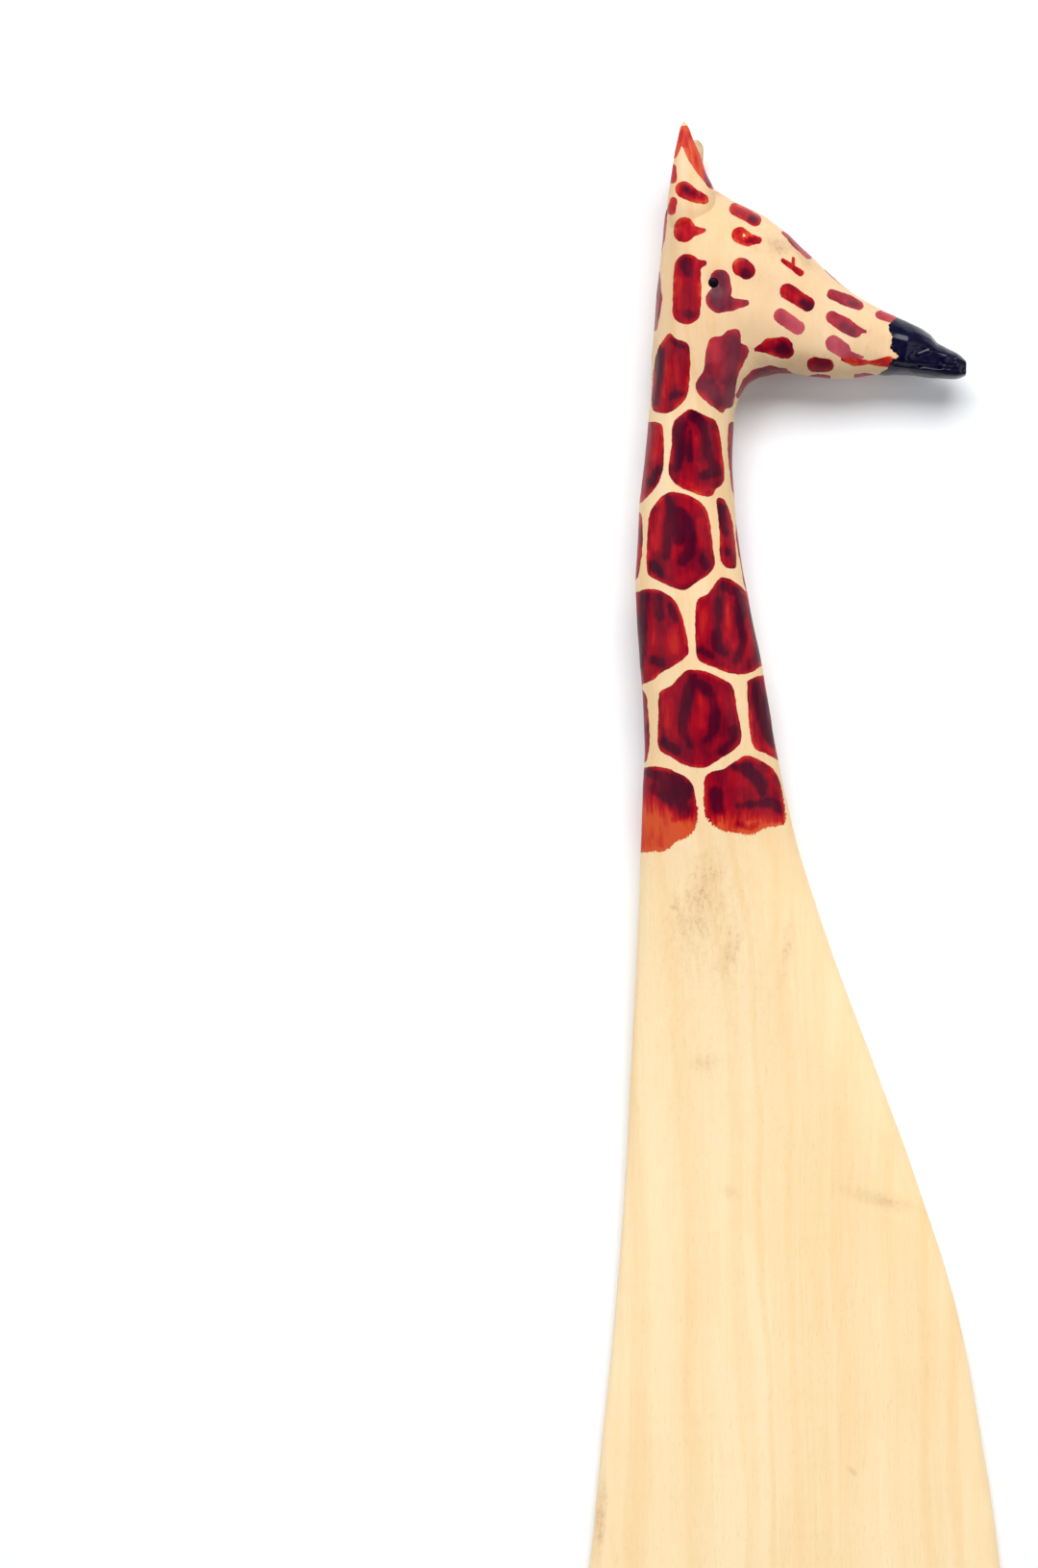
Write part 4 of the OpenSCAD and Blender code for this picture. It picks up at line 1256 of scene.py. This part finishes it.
def carved_piece(name, mesh, node, material, knife):
    """Runs the knife over a mesh and makes it the piece that stands for a CAD node."""
    rough = bpy.data.objects.new(name + "_rough", mesh)
    bpy.context.scene.collection.objects.link(rough)
    modifier = rough.modifiers.new("Knife work", "NODES")
    tree = knife_work_tree()
    modifier.node_group = tree
    values = {"Facet length": knife.facet_length, "Facet depth": knife.facet_depth,
              "Wave depth": knife.wave_depth, "Seed": knife.seed, "Finish": material}
    for item in tree.interface.items_tree:
        if item.in_out == "INPUT" and item.name in values:
            modifier[item.identifier] = values[item.name]
    graph = bpy.context.evaluated_depsgraph_get()
    carved = bpy.data.meshes.new_from_object(rough.evaluated_get(graph))
    carved.name = name
    rough.modifiers.clear()
    bpy.data.objects.remove(rough)
    carved.attributes.remove(carved.attributes["skin_normal"])
    carved.attributes.remove(carved.attributes["carve"])
    piece = bpy.data.objects.new(name, carved)
    bpy.context.scene.collection.objects.link(piece)
    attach(piece, BODY)
    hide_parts(node)


def carve_mask(skin):
    """How strongly the knife marks show: hardly on the blade, fully from the neck up."""
    mask = 0.25 + 0.75 * np.clip((skin.y - 15) / 30, 0, 1)
    rim = np.clip((skin.y - TIP_Y) / 4, 0, 1)
    rim *= np.clip((np.hypot(skin.x - EYE[0], skin.y - EYE[1]) - EYE_SEAT) / 2, 0, 1)
    under = np.where(skin.z < 0.3, 0, 1)
    return mask * rim * under


class PaddleShape(bpy.types.PropertyGroup):
    """How the wood was worked."""

    facet_length: FloatProperty(
        name="Facet length", description="Length of one knife facet across the grain",
        default=0.006, min=0.002, max=0.02, unit="LENGTH")
    facet_depth: FloatProperty(
        name="Facet depth", description="How deep the knife facets are",
        default=0.00022, min=0, max=0.0005, unit="LENGTH")
    wave_depth: FloatProperty(
        name="Wave depth", description="How far the surface waves by eye",
        default=0.0005, min=0, max=0.001, unit="LENGTH")
    seed: IntProperty(name="Seed", description="Which set of knife marks", default=3)
    bead_rise: FloatProperty(
        name="Bead rise", description="How far the eye beads' domes stand above their shoulder",
        default=0.00018, min=0.0001, max=0.0005, unit="LENGTH")


class PaddleFinish(bpy.types.PropertyGroup):
    """The colours and sheen of the wood and paint."""

    wood_light: FloatVectorProperty(
        name="Early wood", description="Colour of the paler part of the rings",
        default=(0.93, 0.735, 0.45), size=3, min=0, max=1, subtype="COLOR")
    wood_dark: FloatVectorProperty(
        name="Late wood", description="Colour of the darker part of the rings",
        default=(0.88, 0.605, 0.30), size=3, min=0, max=1, subtype="COLOR")
    brush_sway: FloatProperty(
        name="Brush sway", description="How far painted edges wander, in millimetres",
        default=0.3, min=0, max=1)
    varnish: FloatProperty(
        name="Varnish", description="Strength of the varnish's reflections",
        default=0.06, min=0, max=1, subtype="FACTOR")
    lacquer_roughness: FloatProperty(
        name="Lacquer roughness", description="Roughness of the gloss over dye and black",
        default=0.14, min=0, max=1, subtype="FACTOR")


class PaddleStage(bpy.types.PropertyGroup):
    """The table, the lights and the camera."""

    camera_height: FloatProperty(
        name="Camera height", description="Height of the camera above the paddle",
        default=2.6, min=0.3, unit="LENGTH")
    field_height: FloatProperty(
        name="Field height", description="Length of table that the picture takes in",
        default=0.261, min=0.05, unit="LENGTH")
    key_power: FloatProperty(
        name="Key power", description="Power of the softbox beyond the head", default=15.5,
        min=0, unit="POWER")
    side_power: FloatProperty(
        name="Side power", description="Power of each softbox at the sides", default=2.7,
        min=0, unit="POWER")
    sky: FloatProperty(
        name="Sky", description="Brightness of the room's walls", default=0.3, min=0)


class PADDLE_OT_carve_board(bpy.types.Operator):
    """Carves the blade, neck, head and muzzle from one board and paints them"""

    bl_idname = "paddle.carve_board"
    bl_label = "Carve the board"

    def execute(self, context):
        shape, finish = context.scene.paddle_shape, context.scene.paddle_finish
        rows, cuts = body_sections()
        skin = Skin(rows, POINTS_ROUND)
        sculpt_head(skin)
        sculpt_muzzle(skin)
        paint = Paint(skin)
        paint.neck()
        paint.head()
        paint.brushwork()
        paint.muzzle()
        paint.marks(0)
        layers = dict(paint.layers(), carve=carve_mask(skin))
        looks = {
            "blade": ("bare_wood", painted_wood("Bare wood", finish)),
            "neck": ("dyed_wood", painted_wood("Spotted wood", finish)),
            "head": ("dyed_wood", painted_wood("Spotted wood of the head", finish,
                                               blackened=True)),
            "muzzle": ("black_lacquer", painted_wood("Black muzzle", finish, blackened=True)),
        }
        for node, (start, stop) in cuts.items():
            mesh = piece_mesh(node, skin, layers, start, stop,
                              round_start=0.05 if node == "blade" else 0,
                              round_stop=0.25 if node == "muzzle" else 0)
            slot, material = looks[node]
            carved_piece(node + "_wood", mesh, node, material, shape)
        return {"FINISHED"}


class PADDLE_OT_carve_ears(bpy.types.Operator):
    """Carves and paints the two ears, whose roots are faired into the head"""

    bl_idname = "paddle.carve_ears"
    bl_label = "Carve the ears"

    def execute(self, context):
        shape, finish = context.scene.paddle_shape, context.scene.paddle_finish
        ears = [
            ("right_ear", RIGHT_EAR_STATIONS, 1, "dyed_wood",
             painted_wood("Spotted wood of the ear", finish), 0.0),
            # The far ear is greyed all over: partly grime, partly painted shade where it lies
            # under the near ear.
            ("left_ear", LEFT_EAR_STATIONS, -1, "worn_ear",
             painted_wood("Worn ear", finish), 1.5),
        ]
        for node, stations, up, slot, material, grey_grime_and_shade in ears:
            rows = smoothed(np.array(stations), [STEPS["ear"]] * len(stations))
            skin = Skin(rows, EAR_POINTS_ROUND)
            sculpt_ear(skin, up)
            paint = Paint(skin)
            paint.head()
            paint.brushwork()
            paint.ear()
            paint.marks(grey_grime_and_shade)
            if node == "left_ear":
                paint.dye = np.where(skin.top, FAR, paint.dye)
            layers = dict(paint.layers(), carve=np.full(skin.x.shape, 0.6))
            mesh = piece_mesh(node, skin, layers, 0, len(rows) - 1, round_stop=0.12)
            carved_piece(node + "_wood", mesh, node, material, shape)
        return {"FINISHED"}


class PADDLE_OT_set_eyes(bpy.types.Operator):
    """Turns the two black eye beads and presses them into their holes"""

    bl_idname = "paddle.set_eyes"
    bl_label = "Set the eyes"

    def execute(self, context):
        rise = context.scene.paddle_shape.bead_rise
        for node in ("right_eye", "left_eye"):
            low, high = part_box(node)
            up = 1 if node == "right_eye" else -1
            radius, length = (high.x - low.x) / 2, high.z - low.z
            crown = high.z if up > 0 else low.z
            mesh = bead_mesh(node, radius, length, rise)
            for vertex in mesh.vertices:
                x, y, z = vertex.co
                vertex.co = ((low.x + high.x) / 2 + x, (low.y + high.y) / 2 + y * up,
                             crown + up * z)
            mesh.materials.append(bead_material())
            piece = bpy.data.objects.new(node + "_bead", mesh)
            context.scene.collection.objects.link(piece)
            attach(piece, BODY)
            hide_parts(node)
        return {"FINISHED"}


def bead_mesh(name, radius, length, rise):
    """A turned pin with a domed head, its crown at the origin and its length downwards."""
    turns, dome_steps = 48, 8
    profile = [(0.86 * radius, -length), (radius, -length * 0.94)]
    shoulder = radius * 0.12
    profile += [(radius, -rise - shoulder), (radius - shoulder * 0.3, -rise - shoulder * 0.3),
                (radius - shoulder, -rise)]
    for k in range(1, dome_steps):
        a = math.pi / 2 * k / dome_steps
        profile.append(((radius - shoulder) * math.cos(a), -rise + rise * math.sin(a)))
    points = [(r * math.cos(2 * math.pi * k / turns), r * math.sin(2 * math.pi * k / turns), z)
              for r, z in profile for k in range(turns)]
    faces = []
    for ring in range(len(profile) - 1):
        for k in range(turns):
            a, b = ring * turns + k, ring * turns + (k + 1) % turns
            faces.append((a, b, b + turns, a + turns))
    top = (len(profile) - 1) * turns
    points.append((0, 0, 0))
    faces += [(top + k, top + (k + 1) % turns, len(points) - 1) for k in range(turns)]
    faces.append(tuple(range(turns))[::-1])
    mesh = bpy.data.meshes.new(name)
    mesh.from_pydata(points, [], faces)
    mesh.polygons.foreach_set("use_smooth", [True] * (len(faces) - 1) + [False])
    return mesh


# The softboxes, in metres: the property with their power, width and height, and place
SOFTBOXES = {
    "Key": ("key_power", (0.9, 0.5), (0.0, 0.68, 1.0)),
    "Left": ("side_power", (0.5, 1.1), (-0.8, 0.0, 0.7)),
    "Right": ("side_power", (0.5, 1.1), (0.8, 0.0, 0.7)),
}
# How far the softboxes' aim lies up the neck from the paddle's middle
AIM_UP = 0.06
# Where the camera stands, from the left edge of the blade and from the tip of the ear
CAMERA_LEFT = 0.0096
CAMERA_DOWN = 0.110
TABLE_REACH = 3.0
PAPER_COLOURS = (0.90, 0.915, 0.93, 1), (0.92, 0.93, 0.945, 1)
ROOM_COLOUR = (0.82, 0.91, 1.0, 1)


class PADDLE_OT_stage(bpy.types.Operator):
    """Lays the pale table, hangs the lights and sets the camera overhead"""

    bl_idname = "paddle.stage"
    bl_label = "Set the stage"

    def execute(self, context):
        stage = context.scene.paddle_stage
        low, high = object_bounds()
        lay_table(low.z)
        aim = ((low.x + high.x) / 2, (low.y + high.y) / 2 + AIM_UP, 0)
        for name, (power, size, place) in SOFTBOXES.items():
            softbox(name, getattr(stage, power), size, place, aim)
        light_room(stage.sky)
        overhead_camera(low, high, stage)
        context.scene.view_settings.view_transform = "Standard"
        return {"FINISHED"}


def lay_table(height):
    """A wide sheet of matt white paper."""
    mesh = bpy.data.meshes.new("table")
    corners = [(-1, -1), (1, -1), (1, 1), (-1, 1)]
    mesh.from_pydata([(x * TABLE_REACH, y * TABLE_REACH, height) for x, y in corners], [],
                     [(0, 1, 2, 3)])
    material, net = new_material("White paper")
    spot = net.add("ShaderNodeTexCoord").outputs["Object"]
    tooth = net.noise(spot, 900.0, 3.0, 0.6)
    bump = net.add("ShaderNodeBump", {"Height": tooth, "Strength": 0.3, "Distance": 0.05 * MM})
    colour = net.mix(tooth, *PAPER_COLOURS)
    shader = net.add("ShaderNodeBsdfPrincipled", {
        "Base Color": colour, "Roughness": 0.95, "Specular IOR Level": 0.1,
        "Normal": bump.outputs[0]})
    net.add("ShaderNodeOutputMaterial", {"Surface": shader.outputs[0]})
    mesh.materials.append(material)
    table = bpy.data.objects.new("table", mesh)
    bpy.context.scene.collection.objects.link(table)
    table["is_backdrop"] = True


def softbox(name, power, size, place, aim):
    """An even rectangular light at a place, turned to a point."""
    light = bpy.data.lights.new(name, "AREA")
    light.shape = "RECTANGLE"
    light.size, light.size_y = size
    light.energy = power
    box = bpy.data.objects.new(name, light)
    box.location = place
    box.rotation_euler = (Vector(aim) - Vector(place)).to_track_quat("-Z", "Y").to_euler()
    bpy.context.scene.collection.objects.link(box)


def light_room(brightness):
    """White walls that darken towards the ceiling."""
    world = bpy.data.worlds.new("Room")
    world.use_nodes = True
    world.node_tree.nodes.clear()
    net = Net(world.node_tree)
    up = net.add("ShaderNodeSeparateXYZ",
                 {0: net.add("ShaderNodeTexCoord").outputs["Generated"]}).outputs[2]
    level = net.ease(up, 0.5, 0.95, 1.0, 0.06)
    shader = net.add("ShaderNodeBackground", {"Color": ROOM_COLOUR,
                                              "Strength": net.math("MULTIPLY", level, brightness)})
    net.add("ShaderNodeOutputWorld", {"Surface": shader.outputs[0]})
    bpy.context.scene.world = world


def overhead_camera(low, high, stage):
    """Looks straight down, with the head end in the picture and the blade's end out of it."""
    camera = bpy.data.cameras.new("Overhead")
    camera.sensor_width = 36.0
    camera.lens = camera.sensor_width * stage.camera_height / stage.field_height
    eye = bpy.data.objects.new("Overhead", camera)
    eye.location = (low.x - CAMERA_LEFT, high.y - CAMERA_DOWN,
                    stage.camera_height + 0.4 * (high.z - low.z))
    bpy.context.scene.collection.objects.link(eye)
    bpy.context.scene.camera = eye


class PADDLE_PT_panel(bpy.types.Panel):
    """The steps that make the paddle, in order"""

    bl_idname = "PADDLE_PT_panel"
    bl_label = "Giraffe Paddle"
    bl_space_type = "VIEW_3D"
    bl_region_type = "UI"
    bl_category = "Paddle"

    def draw(self, context):
        layout = self.layout
        for group in (context.scene.paddle_shape, context.scene.paddle_finish,
                      context.scene.paddle_stage):
            box = layout.box()
            for name in group.__annotations__:
                box.prop(group, name)
        for operator in (PADDLE_OT_carve_board, PADDLE_OT_carve_ears, PADDLE_OT_set_eyes,
                         PADDLE_OT_stage):
            layout.operator(operator.bl_idname)


CLASSES = (PaddleShape, PaddleFinish, PaddleStage, PADDLE_OT_carve_board,
           PADDLE_OT_carve_ears, PADDLE_OT_set_eyes, PADDLE_OT_stage, PADDLE_PT_panel)


def register():
    for cls in CLASSES:
        bpy.utils.register_class(cls)
    bpy.types.Scene.paddle_shape = PointerProperty(type=PaddleShape)
    bpy.types.Scene.paddle_finish = PointerProperty(type=PaddleFinish)
    bpy.types.Scene.paddle_stage = PointerProperty(type=PaddleStage)


def unregister():
    del bpy.types.Scene.paddle_stage
    del bpy.types.Scene.paddle_finish
    del bpy.types.Scene.paddle_shape
    for cls in reversed(CLASSES):
        bpy.utils.unregister_class(cls)


def main():
    register()
    bpy.ops.paddle.carve_board()
    bpy.ops.paddle.carve_ears()
    bpy.ops.paddle.set_eyes()
    bpy.ops.paddle.stage()


if __name__ == "__main__":
    main()
